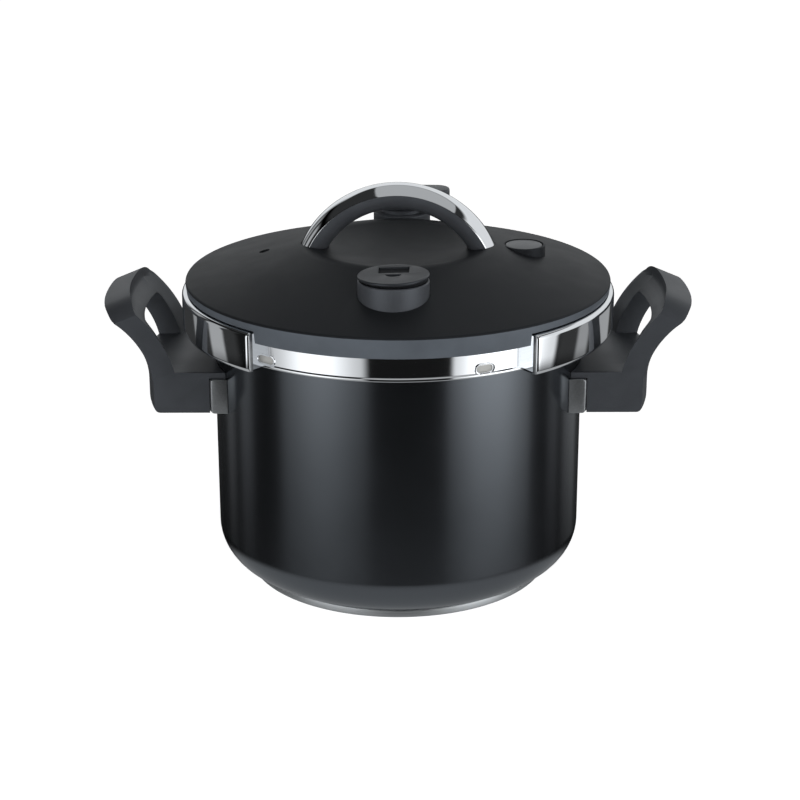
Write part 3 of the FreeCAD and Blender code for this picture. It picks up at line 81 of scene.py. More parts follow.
def centre_of(node_name):
    """Plan centre of a CAD node on the lid, in the lid's own frame."""
    low, high = span(node_name)
    middle = Matrix.Rotation(-LID_TURN, 3, "Z") @ ((low + high) / 2)
    return middle.x, middle.y


# ---------------------------------------------------------------- sizes and finishes
def length(name, description, default):
    """A length in metres that the user can change."""
    return bpy.props.FloatProperty(name=name, description=description, default=default, unit="LENGTH",
                                   precision=5)


def colour(name, description, default):
    """A colour that the user can change."""
    return bpy.props.FloatVectorProperty(name=name, description=description, default=default,
                                         subtype="COLOR", size=3, min=0.0, max=1.0)


def share(name, description, default):
    """A number from 0 to 1 that the user can change."""
    return bpy.props.FloatProperty(name=name, description=description, default=default, subtype="FACTOR",
                                   min=0.0, max=1.0)


def degrees(name, description, default):
    """An angle, given in degrees, that the user can change."""
    return bpy.props.FloatProperty(name=name, description=description, default=math.radians(default),
                                   subtype="ANGLE")


class CookerPotSizes(bpy.types.PropertyGroup):
    """Sizes of the pot, its base and its side handles."""
    rim_width: length("Rim width", "How far the rim stands out from the pot wall", 5.0 * MM)
    wall: length("Wall", "Thickness of the pot wall", 1.5 * MM)
    corner: length("Corner radius", "Outer radius of the pot's bottom corner", 25.0 * MM)
    rim_thick: length("Rim thickness", "Thickness of the pot's rim", 1.6 * MM)
    floor: length("Floor", "Thickness of the pot's bottom sheet", 2.0 * MM)
    base_edge: length("Base edge", "Rounding of the base plate's edge", 0.9 * MM)
    handle_bevel: length("Handle rounding", "Rounding of the moulded handle's edges", 1.5 * MM)
    bracket_bevel: length("Bracket rounding", "Rounding of the steel bracket's ends", 0.5 * MM)
    bracket_bend: length("Bracket bend", "Radius of the bracket's long bends", 1.8 * MM)


class CookerLidSizes(bpy.types.PropertyGroup):
    """Sizes of the lid, its jaws and its fittings."""
    pan_wall: length("Lid sheet", "Thickness of the steel lid", 1.2 * MM)
    bead: length("Skirt bead", "How far the rolled edge of the skirt stands out", 0.7 * MM)
    cover_wall: length("Cover wall", "Thickness of the moulded cover", 2.6 * MM)
    cover_edge: length("Cover edge height", "Height of the cover's outer edge", 184.3 * MM)
    cover_round: length("Cover edge rounding", "Rounding of the cover's outer edge", 1.6 * MM)
    ridge_radius: length("Ridge radius", "Radius of the ridge round the finger dish", 55.0 * MM)
    ridge_height: length("Ridge height", "Height of the ridge round the finger dish", 204.5 * MM)
    dish_depth: length("Dish depth", "Depth of the finger dish under the ridge", 7.5 * MM)
    jaw_sheet: length("Jaw sheet", "Thickness of the jaws' sheet steel", 1.4 * MM)
    jaw_bend: length("Jaw bend", "Outer radius of the jaws' long bends", 3.0 * MM)
    jaw_hem: length("Jaw hem", "Bend radius of the jaws' turned-in ends", 1.9 * MM)
    jaw_return: length("Jaw return", "Depth of the turned-in ends of the jaws", 3.8 * MM)
    recess: length("Cap recess", "Depth of the marks in the regulator's cap", 1.1 * MM)
    cap_gap: length("Cap gap", "Gap between the regulator's cup and its cap", 1.5 * MM)
    cap_lean: degrees("Cap lean", "How far the regulator's cap leans to the left", 1.8)


class CookerFinishes(bpy.types.PropertyGroup):
    """Colours and roughness of the cooker's finishes."""
    coating: colour("Pot coating", "Baked coating on the pot", (0.0012, 0.0012, 0.0014))
    coating_rough: share("Coating roughness", "Roughness of the baked coating", 0.2)
    plastic: colour("Cover plastic", "Top of the moulded cover", (0.0135, 0.0144, 0.0162))
    plastic_rough: share("Cover roughness", "Roughness of the moulded cover", 0.52)
    # The band's colour is far lighter than the cover plastic: a painted reflection of the bright floor that
    # the smooth band mirrors.
    band: colour("Cover band", "Smooth band round the moulded cover", (0.095, 0.109, 0.127))
    # Knobs and button take lighter and darker copies of this colour as painted light and painted shade.
    bakelite: colour("Handle plastic", "Side handles, knobs and button", (0.042, 0.045, 0.0505))
    bakelite_rough: share("Handle roughness", "Roughness of the handles", 0.45)
    chrome: colour("Chrome", "Jaws, lid skirt and arch strip", (0.84, 0.85, 0.87))
    steel: colour("Brushed steel", "Brackets and inner steel parts", (0.42, 0.43, 0.44))
    # Its pale colour is partly the silicone's own and partly painted light, raised so that the gasket shows
    # bright through the skirt's windows.
    silicone: colour("Silicone", "Gasket and seals", (0.78, 0.79, 0.8))
    brass: colour("Valve metal", "Valves and the steam pipe", (0.62, 0.5, 0.28))


class CookerStudio(bpy.types.PropertyGroup):
    """The camera and the light."""
    distance: length("Camera distance", "How far the camera stands in front of the cooker", 1.1719)
    height: length("Camera height", "How high the camera stands over the base", 0.5209)
    tilt: degrees("Camera tilt", "How far the camera looks down", 19.601)
    roll: degrees("Camera roll", "How far the camera leans", -0.103)
    lens: bpy.props.FloatProperty(name="Lens", description="Focal length in millimetres", default=90.83)
    shift: bpy.props.FloatProperty(name="Shift", description="Sideways lens shift", default=0.0022)
    box_power: bpy.props.FloatProperty(name="Soft box power", description="Power of each soft box in watts",
                                       default=28.0)


# ---------------------------------------------------------------- mesh helpers
def rounded(corners, steps=5):
    """Points of an outline of (x, y) or (x, y, radius) corners, with those radii rounded."""
    points = []
    count = len(corners)
    for i, item in enumerate(corners):
        here = Vector(item[:2])
        if len(item) < 3 or item[2] <= 0:
            points.append(here)
            continue
        back = (Vector(corners[i - 1][:2]) - here).normalized()
        ahead = (Vector(corners[(i + 1) % count][:2]) - here).normalized()
        half = back.angle(ahead) / 2
        run = item[2] / math.tan(half)
        centre = here + (back + ahead).normalized() * (item[2] / math.sin(half))
        start, end = here + back * run, here + ahead * run
        first = math.atan2(start.y - centre.y, start.x - centre.x)
        turn = math.atan2(end.y - centre.y, end.x - centre.x) - first
        turn = (turn + math.pi) % (2 * math.pi) - math.pi
        for k in range(steps + 1):
            angle = first + turn * k / steps
            points.append(centre + Vector((math.cos(angle), math.sin(angle))) * item[2])
    return points


def smooth(mesh):
    """Shade a mesh smooth but for its sharp edges."""
    mesh.polygons.foreach_set("use_smooth", [True] * len(mesh.polygons))
    mesh.set_sharp_from_angle(angle=SHARP)


def add_object(name, data):
    """A new object in the scene."""
    item = bpy.data.objects.new(name, data)
    bpy.context.scene.collection.objects.link(item)
    return item


def finish_mesh(name, bm, materials=()):
    """Turn a bmesh into an object with outward faces, smooth but for its sharp edges."""
    bmesh.ops.remove_doubles(bm, verts=bm.verts, dist=TOUCHING)
    bmesh.ops.recalc_face_normals(bm, faces=bm.faces)
    mesh = bpy.data.meshes.new(name)
    bm.to_mesh(mesh)
    bm.free()
    for item in materials:
        mesh.materials.append(item)
    smooth(mesh)
    return add_object(name, mesh)


def lathe(bm, outline, middle=0.0, sweep=2 * math.pi, steps=AROUND, centre=(0.0, 0.0)):
    """Turn a closed (radius, height) outline about an upright axis; gives (corner, face) pairs."""
    whole = sweep > 2 * math.pi - 1e-6
    turns = steps if whole else steps + 1
    rings = []
    axis = {}
    for k in range(turns):
        angle = middle + sweep * (k / steps - 0.5)
        ring = []
        for i, (radius, height) in enumerate(outline):
            if radius < 1e-7:
                if i not in axis:
                    axis[i] = bm.verts.new((centre[0], centre[1], height))
                ring.append(axis[i])
                continue
            ring.append(bm.verts.new((centre[0] + radius * math.cos(angle),
                                      centre[1] + radius * math.sin(angle), height)))
        rings.append(ring)
    count = len(outline)
    faces = []
    for k in range(turns if whole else turns - 1):
        here, there = rings[k], rings[(k + 1) % turns]
        for i in range(count):
            j = (i + 1) % count
            corners = list(dict.fromkeys([here[i], there[i], there[j], here[j]]))
            if len(corners) > 2:
                faces.append((i, bm.faces.new(corners)))
    if not whole:
        bm.faces.new(rings[0])
        bm.faces.new(list(reversed(rings[-1])))
    return faces


def loft(bm, rings, closed=False):
    """Skin rings of points that follow each other, and close the first and the last."""
    rows = [[bm.verts.new(point) for point in ring] for ring in rings]
    for here, there in zip(rows, rows[1:] + rows[:1] if closed else rows[1:]):
        for i in range(len(here)):
            j = (i + 1) % len(here)
            bm.faces.new((here[i], here[j], there[j], there[i]))
    if not closed:
        bm.faces.new(rows[0])
        bm.faces.new(list(reversed(rows[-1])))


def round_ring(outline, angle):
    """A (radius, height) outline stood up at one angle round the axis."""
    return [(radius * math.cos(angle), radius * math.sin(angle), height) for radius, height in outline]


def turned(name, outline, materials, centre=(0.0, 0.0), steps=AROUND):
    """An object turned from one outline."""
    bm = bmesh.new()
    lathe(bm, outline, steps=steps, centre=centre)
    return finish_mesh(name, bm, materials)


def prism(bm, outline, low, high):
    """A straight solid from a plan outline, between two heights."""
    loft(bm, [[(x, y, z) for x, y in outline] for z in (low, high)])


def bevel(item, width, segments, angle):
    """Round an object's sharp edges and keep the result as its mesh."""
    modifier = item.modifiers.new("Rounding", "BEVEL")
    modifier.width = width
    modifier.segments = segments
    modifier.limit_method = "ANGLE"
    modifier.angle_limit = math.radians(angle)
    modifier.harden_normals = False
    modifier.miter_outer = "MITER_ARC"
    settle(item)


def combine(item, other, operation):
    """Join or cut one object with another, which is then removed."""
    modifier = item.modifiers.new(operation.title(), "BOOLEAN")
    modifier.operation = operation
    modifier.object = other
    modifier.solver = "EXACT"
    settle(item)
    spare = other.data
    bpy.data.objects.remove(other)
    bpy.data.meshes.remove(spare)


def settle(item):
    """Apply an object's modifiers, so that it is a plain mesh with none left."""
    bpy.context.view_layer.update()
    evaluated = item.evaluated_get(bpy.context.evaluated_depsgraph_get())
    mesh = bpy.data.meshes.new_from_object(evaluated)
    spare = item.data
    item.modifiers.clear()
    item.data = mesh
    mesh.name = spare.name
    bpy.data.meshes.remove(spare)
    smooth(mesh)


def circle_points(x, y, radius, steps):
    """Points of a circle in plan."""
    turns = [2 * math.pi * k / steps for k in range(steps)]
    return [(x + radius * math.cos(a), y + radius * math.sin(a)) for a in turns]


def arc_points(x, y, radius, first, last, steps):
    """Points of an arc, with its angles in degrees."""
    turns = [math.radians(first + (last - first) * k / steps) for k in range(steps + 1)]
    return [(x + radius * math.cos(a), y + radius * math.sin(a)) for a in turns]


def attach(item, body, slot, *nodes):
    """Make a piece ride on its body, in place of CAD nodes."""
    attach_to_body(item, body)
    if nodes:
        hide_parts(*nodes)
    return item


def attach_on_lid(item, body, slot, *nodes):
    """Turn a piece as the lid stands turned on the pot, and make it ride on its body."""
    item.data.transform(Matrix.Rotation(LID_TURN, 4, "Z"))
    return attach(item, body, slot, *nodes)


def half_turned(item, name):
    """A copy of an object, turned half round about the cooker's axis."""
    mesh = item.data.copy()
    mesh.transform(Matrix.Rotation(math.pi, 4, "Z"))
    return add_object(name, mesh)


# ---------------------------------------------------------------- node helpers
def feed(tree, value, socket):
    """Give a socket another node's output, or a plain value."""
    if isinstance(value, bpy.types.NodeSocket):
        tree.links.new(value, socket)
    else:
        socket.default_value = value


def node(tree, kind, at, **settings):
    """Add a node with its settings; a setting that names an input feeds that input."""
    made = tree.nodes.new(kind)
    made.location = at
    for key, value in settings.items():
        if hasattr(made, key):
            setattr(made, key, value)
        else:
            feed(tree, value, made.inputs[key.replace("_", " ")])
    return made


def calc(tree, operation, first, second, at=(0, 0)):
    """One math node on sockets or numbers."""
    made = node(tree, "ShaderNodeMath", at, operation=operation)
    for value, socket in zip((first, second), made.inputs):
        feed(tree, value, socket)
    return made.outputs["Value"]


def map_range(tree, value, ends, results, at, **settings):
    """Run a value from one pair of ends to another."""
    made = node(tree, "ShaderNodeMapRange", at, Value=value, **settings)
    for key, number in zip(("From Min", "From Max", "To Min", "To Max"), (*ends, *results)):
        made.inputs[key].default_value = number
    return made.outputs["Result"]


def colour_mix(tree, factor, first, second, at, **settings):
    """Blend two colours, or combine them in another way."""
    made = node(tree, "ShaderNodeMix", at, data_type="RGBA", **settings)
    colours = [socket for socket in made.inputs if socket.type == "RGBA"]
    for value, socket in zip((factor, first, second), (made.inputs["Factor"], *colours)):
        feed(tree, value, socket)
    return next(socket for socket in made.outputs if socket.type == "RGBA")


def new_group(name, kind, inputs, outputs):
    """A node group with named sockets: (name, type, default) each; with its inner ends."""
    group = bpy.data.node_groups.new(name, kind)
    for label, socket_type, default in inputs:
        made = group.interface.new_socket(label, in_out="INPUT", socket_type=socket_type)
        if default is not None:
            made.default_value = default
    for label, socket_type in outputs:
        group.interface.new_socket(label, in_out="OUTPUT", socket_type=socket_type)
    return group, group.nodes.new("NodeGroupInput").outputs, group.nodes.new("NodeGroupOutput").inputs


# ---------------------------------------------------------------- shader groups and finishes
GRAIN, BRUSHED = "Fine grain", "Brushed round"


def fine_grain_group():
    """Grain of a fine moulded or baked surface: a height for bump and a mask of 0 to 1."""
    group, given, leave = new_group(
        GRAIN, "ShaderNodeTree",
        [("Vector", "NodeSocketVector", None), ("Scale", "NodeSocketFloat", 1200.0),
         ("Softness", "NodeSocketFloat", 0.5)],
        [("Height", "NodeSocketFloat"), ("Mottle", "NodeSocketFloat")])
    grain = node(group, "ShaderNodeTexNoise", (200, 100), Detail=3.0, Vector=given["Vector"],
                 Scale=given["Scale"], Roughness=given["Softness"])
    mottle = node(group, "ShaderNodeTexNoise", (200, -200), Scale=38.0, Detail=4.0, Roughness=0.6,
                  Vector=given["Vector"])
    feed(group, grain.outputs["Fac"], leave["Height"])
    feed(group, mottle.outputs["Fac"], leave["Mottle"])


def brushed_group():
    """Fine lines round the vertical axis, as left by turning or brushing."""
    group, given, leave = new_group(
        BRUSHED, "ShaderNodeTree",
        [("Vector", "NodeSocketVector", None), ("Scale", "NodeSocketFloat", 900.0)],
        [("Height", "NodeSocketFloat"), ("Streak", "NodeSocketFloat")])
    parts = node(group, "ShaderNodeSeparateXYZ", (150, 0), Vector=given["Vector"]).outputs
    flat = node(group, "ShaderNodeCombineXYZ", (300, 100), X=parts["X"], Y=parts["Y"])
    reach = node(group, "ShaderNodeVectorMath", (450, 100), operation="LENGTH")
    feed(group, flat.outputs["Vector"], reach.inputs[0])
    both = node(group, "ShaderNodeCombineXYZ", (600, 0), X=reach.outputs["Value"], Y=parts["Z"])
    lines = node(group, "ShaderNodeTexNoise", (750, 0), Detail=4.0, Roughness=0.7,
                 Vector=both.outputs["Vector"], Scale=given["Scale"])
    for label in ("Height", "Streak"):
        feed(group, lines.outputs["Fac"], leave[label])


class Finish:
    """A material with a Principled BSDF and the coordinates that its patterns use."""

    def __init__(self, name):
        self.material = bpy.data.materials.new(name)
        self.material.use_nodes = True
        self.tree = self.material.node_tree
        self.shader = self.tree.nodes["Principled BSDF"]
        self.place = node(self.tree, "ShaderNodeTexCoord", (-1200, 0)).outputs["Object"]

    def give(self, **values):
        """Feed inputs of the shader by their names."""
        for key, value in values.items():
            feed(self.tree, value, self.shader.inputs[key.replace("_", " ")])

    def pattern(self, name, scale):
        """The outputs of a shared group at this material's own scale."""
        return node(self.tree, "ShaderNodeGroup", (-900, -200), node_tree=bpy.data.node_groups[name],
                    Vector=self.place, Scale=scale).outputs

    def mix(self, mask, low, high, target):
        """Run a mask between two values or two colours into an input of the shader."""
        plain = isinstance(low, (int, float))
        level = map_range(self.tree, mask, (0.3, 0.7), (low, high) if plain else (0.0, 1.0), (-600, 0))
        if not plain:
            level = colour_mix(self.tree, level, (*low, 1.0), (*high, 1.0), (-350, 200))
        feed(self.tree, level, self.shader.inputs[target])

    def bump(self, height, strength, distance):
        """Raise the surface a little where a pattern is high."""
        made = node(self.tree, "ShaderNodeBump", (-300, -300), Strength=strength, Distance=distance,
                    Height=height)
        self.give(Normal=made.outputs["Normal"])


def tinted(base, factor):
    """A colour made lighter or darker."""
    return tuple(min(1.0, c * factor) for c in base)


COOL_GLOSS = (0.84, 0.91, 1.0, 1.0)
# Colour of the painted glow on the jaws' inner faces.
COOL_PAINTED_GLOW = (0.9, 0.94, 0.97, 1.0)
# How strongly the inner faces of the left and of the right jaw shine into mirrors: a painted glow, seen only
# in mirrors, that no lamp gives.
JAW_PAINTED_GLOW = (0.36, 0.88)


def moulded_finish(name, base, rough, grain, scale, gloss=0.5, spread=0.035):
    """Moulded plastic, silicone or baked coating, with a fine grain and a faint mottle."""
    made = Finish(name)
    grained = made.pattern(GRAIN, scale)
    made.mix(grained["Mottle"], tinted(base, 0.88), tinted(base, 1.14), "Base Color")
    made.mix(grained["Mottle"], rough - spread, rough + spread, "Roughness")
    made.bump(grained["Height"], grain, 0.2 * MM)
    made.give(Specular_IOR_Level=gloss, Specular_Tint=COOL_GLOSS)


def chrome_finish(name, base, rough):
    """Polished metal with faint polishing lines and cloudy spots in its gloss."""
    made = Finish(name)
    made.give(Metallic=1.0, Base_Color=(*base, 1.0))
    made.mix(made.pattern(GRAIN, 60.0)["Mottle"], rough, rough + 0.03, "Roughness")
    made.bump(made.pattern(BRUSHED, 1400.0)["Height"], 0.03, 0.1 * MM)


def brushed_finish(name, base, rough, scale=900.0):
    """Satin metal with fine lines round the axis."""
    made = Finish(name)
    brushed = made.pattern(BRUSHED, scale)
    made.give(Metallic=1.0)
    made.mix(brushed["Streak"], tinted(base, 0.85), tinted(base, 1.12), "Base Color")
    made.mix(brushed["Streak"], rough - 0.05, rough + 0.08, "Roughness")
    made.bump(brushed["Height"], 0.12, 0.1 * MM)
    return made


def inside_finish(name, base):
    """Satin inner face of the jaws with a painted glow, seen only in mirrors, so that the polished skirt
    mirrors it as bright as its surroundings.
    """
    made = brushed_finish(name, base, 0.4)
    across = node(made.tree, "ShaderNodeSeparateXYZ", (-1000, -800), Vector=made.place).outputs["X"]
    side = map_range(made.tree, across, (-1.0 * MM, 1.0 * MM), JAW_PAINTED_GLOW, (-800, -800))
    mirrored = node(made.tree, "ShaderNodeLightPath", (-600, -600)).outputs["Is Glossy Ray"]
    glow = calc(made.tree, "MULTIPLY", mirrored, side, (-400, -600))
    made.give(Emission_Color=COOL_PAINTED_GLOW, Emission_Strength=glow)


def make_finishes(values):
    """Make every material of the cooker."""
    fine_grain_group()
    brushed_group()
    handle, hard, steel = values.bakelite, values.bakelite_rough, values.steel
    moulded_finish("baked coating", values.coating, values.coating_rough, 0.015, 900.0, gloss=2.2,
                   spread=0.006)
    moulded_finish("cover plastic", values.plastic, values.plastic_rough, 0.25, 1500.0, gloss=0.22)
    # Smoother band round the cover; its lighter colour is a painted reflection of the floor.
    moulded_finish("cover band painted reflection", values.band, 0.42, 0.1, 1500.0, gloss=0.6)
    moulded_finish("handle plastic", handle, hard, 0.3, 1300.0)
    # Painted light: a lighter copy of the handle plastic, so that the cup, arch core and lever read as
    # brightly lit.
    moulded_finish("knob plastic painted light", tinted(handle, 1.45), hard - 0.02, 0.3, 1500.0)
    # Painted shade: a darker copy of the handle plastic, so that the tops of the regulator's cap and of the
    # button read as shaded.
    moulded_finish("cap plastic painted shade", tinted(handle, 0.6), hard - 0.14, 0.2, 1500.0, gloss=0.45)
    # Silicone made paler as painted light, so that the gasket shows bright through the skirt's windows.
    moulded_finish("silicone", values.silicone, 0.5, 0.2, 500.0)
    # Painted shade: a near-black finish for gaps and recesses where shade falls.
    moulded_finish("near black painted shade", (0.002, 0.002, 0.002), 0.8, 0.1, 800.0)
    chrome_finish("chrome", values.chrome, 0.035)
    chrome_finish("polished steel", tinted(values.chrome, 0.98), 0.05)
    # The jaws' inner faces carry a painted glow that shows only in mirrors.
    inside_finish("jaw inside painted glow", steel)
    brushed_finish("brushed steel", steel, 0.38)
    brushed_finish("turned base", tinted(steel, 1.3), 0.42, 1500.0)
    brushed_finish("pot lining", tinted(steel, 1.75), 0.3, 1200.0)
    brushed_finish("plated steel", tinted(steel, 1.1), 0.33, 400.0)
    brushed_finish("screw steel", tinted(steel, 1.2), 0.3, 2500.0)
    brushed_finish("valve brass", values.brass, 0.3, 2500.0)


def finish(name):
    """A material that the first operator made."""
    return bpy.data.materials[name]


# ---------------------------------------------------------------- geometry nodes
def socket_id(tree, name):
    """Identifier of a tree's named input, as a modifier wants it."""
    return next(s.identifier for s in tree.interface.items_tree
                if s.item_type == "SOCKET" and s.in_out == "INPUT" and s.name == name)


def run_tree(name, tree, values, points):
    """Run a geometry tree on a few points and return a plain mesh object."""
    mesh = bpy.data.meshes.new(name)
    mesh.from_pydata(points, [], [])
    item = add_object(name, mesh)
    modifier = item.modifiers.new("Build", "NODES")
    modifier.node_group = tree
    for key, value in values.items():
        modifier[socket_id(tree, key)] = value
    settle(item)
    return item


def coil_tree():
    """A compression spring on every point: a wire swept along a spiral of constant radius."""
    tree, given, leave = new_group(
        "Coil spring", "GeometryNodeTree",
        [("Geometry", "NodeSocketGeometry", None), ("Turns", "NodeSocketFloat", 5.0),
         ("Height", "NodeSocketFloat", 0.01), ("Ring radius", "NodeSocketFloat", 0.005),
         ("Wire radius", "NodeSocketFloat", 0.0005), ("Material", "NodeSocketMaterial", None)],
        [("Geometry", "NodeSocketGeometry")])
    spiral = node(tree, "GeometryNodeCurveSpiral", (200, 100), Resolution=32, Rotations=given["Turns"],
                  Height=given["Height"], Start_Radius=given["Ring radius"], End_Radius=given["Ring radius"])
    wire = node(tree, "GeometryNodeCurvePrimitiveCircle", (200, -200), Resolution=12,
                Radius=given["Wire radius"])
    sweep = node(tree, "GeometryNodeCurveToMesh", (450, 0), Fill_Caps=True, Curve=spiral.outputs["Curve"],
                 Profile_Curve=wire.outputs["Curve"])
    place = node(tree, "GeometryNodeInstanceOnPoints", (650, 0), Points=given["Geometry"],
                 Instance=sweep.outputs["Mesh"])
    real = node(tree, "GeometryNodeRealizeInstances", (750, 0), Geometry=place.outputs["Instances"])
    paint = node(tree, "GeometryNodeSetMaterial", (850, 0), Geometry=real.outputs["Geometry"],
                 Material=given["Material"])
    feed(tree, paint.outputs["Geometry"], leave["Geometry"])
    return tree


# ---------------------------------------------------------------- pot
# Bends of the pot's rim: under it at the wall, its lower and upper outer edge, and into the pot.
NECK_BEND, RIM_UNDER_BEND, RIM_TOP_BEND, MOUTH_BEND = 0.8 * MM, 0.5 * MM, 0.6 * MM, 1.2 * MM


def build_pot(sizes):
    """The coated pot with its satin lining, as one turned shell in two finishes."""
    low, high = span("pot_body")
    rim, top = high.x, high.z
    radius = rim - sizes.rim_width
    inner = radius - sizes.wall
    under = top - sizes.rim_thick
    floor = low.z + sizes.floor
    outline = rounded([
        (0.0, low.z), (radius, low.z, sizes.corner), (radius, under, NECK_BEND),
        (rim, under, RIM_UNDER_BEND), (rim, top, RIM_TOP_BEND), (inner, top, MOUTH_BEND),
        (inner, floor, sizes.corner - sizes.floor), (0.0, floor),
    ], 14)
    lining_from = next(i for i, point in enumerate(outline) if point.y > top - TOUCHING / 10)
    bm = bmesh.new()
    for index, face in lathe(bm, outline, steps=POT_AROUND):
        face.material_index = int(index >= lining_from)
    return finish_mesh("pot_shell", bm, [finish("baked coating"), finish("pot lining")])


def build_base(sizes):
    """The thick base disc, with rounded edges and rings in its underside."""
    high = span("base_plate")[1]
    radius, edge = high.x, sizes.base_edge
    groove = 0.4 * MM
    points = [(0.0, 0.0)]
    for ring in (radius * 0.3, radius * 0.55, radius * 0.8):
        points += [(ring - 2 * groove, 0.0), (ring - groove, groove), (ring + groove, groove),
                   (ring + 2 * groove, 0.0)]
    points += [(radius, 0.0, edge), (radius, high.z, edge), (0.0, high.z)]
    return turned("base_disc", rounded(points), [finish("turned base")], steps=POT_AROUND)


# Plan radii and heights of the side handles, in the pot's frame.
BLOCK_RADIUS = 151.5 * MM
HEEL = 3.0 * MM
GRIP_OUT_RADIUS = 173.4 * MM
GRIP_IN_RADIUS = 160.7 * MM
GRIP_OUT_LEVEL = 168.2 * MM
GRIP_IN_LEVEL = 173.5 * MM
GRIP_UNDER = 164.5 * MM
SHELF_LOW, SHELF = 133.6 * MM, 137.0 * MM
# The outer face sweeps out from SWEEP_START in an arc and then leans; the inner face is an arc
# about INNER_AXIS at INNER_LEVEL.
SWEEP_START = 126.0 * MM
OUTER_SWEEP = 51.6 * MM
TIP_LEAN = 0.46
INNER_SWEEP = 72.0 * MM
INNER_AXIS, INNER_LEVEL = 209.6 * MM, 120.7 * MM
ARM_WIDTH = 15.0 * MM
WINDOW_CORNER = 3.0 * MM
# The grip's top falls outwards; across the handle it is crowned, flat in the middle and steep at
# its ends, and sunk there by GRIP_END_DROP.
FALL = (GRIP_IN_LEVEL - GRIP_OUT_LEVEL) / (GRIP_OUT_RADIUS - GRIP_IN_RADIUS)
GRIP_CROWN = 7.9 * MM
CROWN_POWER = 5
GRIP_END_DROP = 1.2 * MM
GRIP_TOP_LIMITS = (150 * MM, 190 * MM)
# How far the handle stands off its bracket and reaches in over it, and the bracket's own depth.
HANDLE_GAP = 0.2 * MM
SHELF_REACH = 8.8 * MM
BRACKET_DEPTH = 9.0 * MM
# Rows of faces up the handle: under its opening, beside it, and over it.
ROWS_LOW, ROWS_OPEN, ROWS_TOP = 6, 8, 6
HEEL_STEPS = 4


def outer_profile(z):
    """Radius of the handle's outer face at a height."""
    if z <= SWEEP_START:
        return BLOCK_RADIUS
    if z > GRIP_OUT_LEVEL:
        return min(GRIP_OUT_RADIUS + TIP_LEAN * (z - GRIP_OUT_LEVEL), span("side_handle_right")[1].x)
    return BLOCK_RADIUS + OUTER_SWEEP - math.sqrt(OUTER_SWEEP ** 2 - (z - SWEEP_START) ** 2)


def inner_profile(z):
    """Radius of the handle's inner face at a height."""
    if z > GRIP_IN_LEVEL:
        return GRIP_IN_RADIUS
    return INNER_AXIS - math.sqrt(INNER_SWEEP ** 2 - (z - INNER_LEVEL) ** 2)


def top_meets(profile, y, half):
    """Height at which the sloping, crowned top of the handle meets one of its faces."""
    end_reach = math.sqrt(GRIP_IN_RADIUS ** 2 - half * half)
    crown = GRIP_CROWN + (GRIP_IN_RADIUS - end_reach) * FALL
    level = GRIP_IN_LEVEL - GRIP_END_DROP + end_reach * FALL + crown * (1 - abs(y / half) ** CROWN_POWER)
    low, high = GRIP_TOP_LIMITS
    for _ in range(50):
        middle = (low + high) / 2
        if middle + FALL * math.sqrt(profile(middle) ** 2 - y * y) < level:
            low = middle
        else:
            high = middle
    return low


def window_top(y, window):
    """Height of the handle's opening at one place across it."""
    over = abs(y) - (window - WINDOW_CORNER)
    if over <= 0:
        return GRIP_UNDER
    return GRIP_UNDER - WINDOW_CORNER + math.sqrt(max(WINDOW_CORNER ** 2 - over * over, 0.0))


def steps_between(first, last, count):
    """Evenly spaced numbers after the first, up to and with the last."""
    return [first + (last - first) * k / count for k in range(1, count + 1)]


def handle_ring(y, half, window, foot):
    """Outline of the handle at one place across it, as radii and heights, outside first."""
    open_top = window_top(y, window) if abs(y) <= window + 1e-9 else GRIP_UNDER - WINDOW_CORNER
    bracket = span("handle_bracket_right")[1].x + HANDLE_GAP
    pot = span("handle_bracket_right")[1].x - SHELF_REACH
    outer_top = top_meets(outer_profile, y, half)
    inner_top = top_meets(inner_profile, y, half)
    ring = [(bracket, foot)]
    for k in range(HEEL_STEPS + 1):
        turn = math.pi / 2 * k / HEEL_STEPS
        ring.append((BLOCK_RADIUS - HEEL + HEEL * math.sin(turn), foot + HEEL - HEEL * math.cos(turn)))
    ring += [(outer_profile(z), z) for z in steps_between(foot + HEEL, SHELF, ROWS_LOW)]
    ring += [(outer_profile(z), z) for z in steps_between(SHELF, open_top, ROWS_OPEN)]
    ring += [(outer_profile(z), z) for z in steps_between(open_top, outer_top, ROWS_TOP)]
    ring += [(inner_profile(z), z) for z in [inner_top] + steps_between(inner_top, open_top, ROWS_TOP)]
    ring += [(inner_profile(z), z) for z in steps_between(open_top, SHELF, ROWS_OPEN)]
    ring += [(pot, SHELF), (pot, SHELF_LOW), (bracket, SHELF_LOW)]
    return [(math.sqrt(max(reach * reach - y * y, 0.0)), y, z) for reach, z in ring]


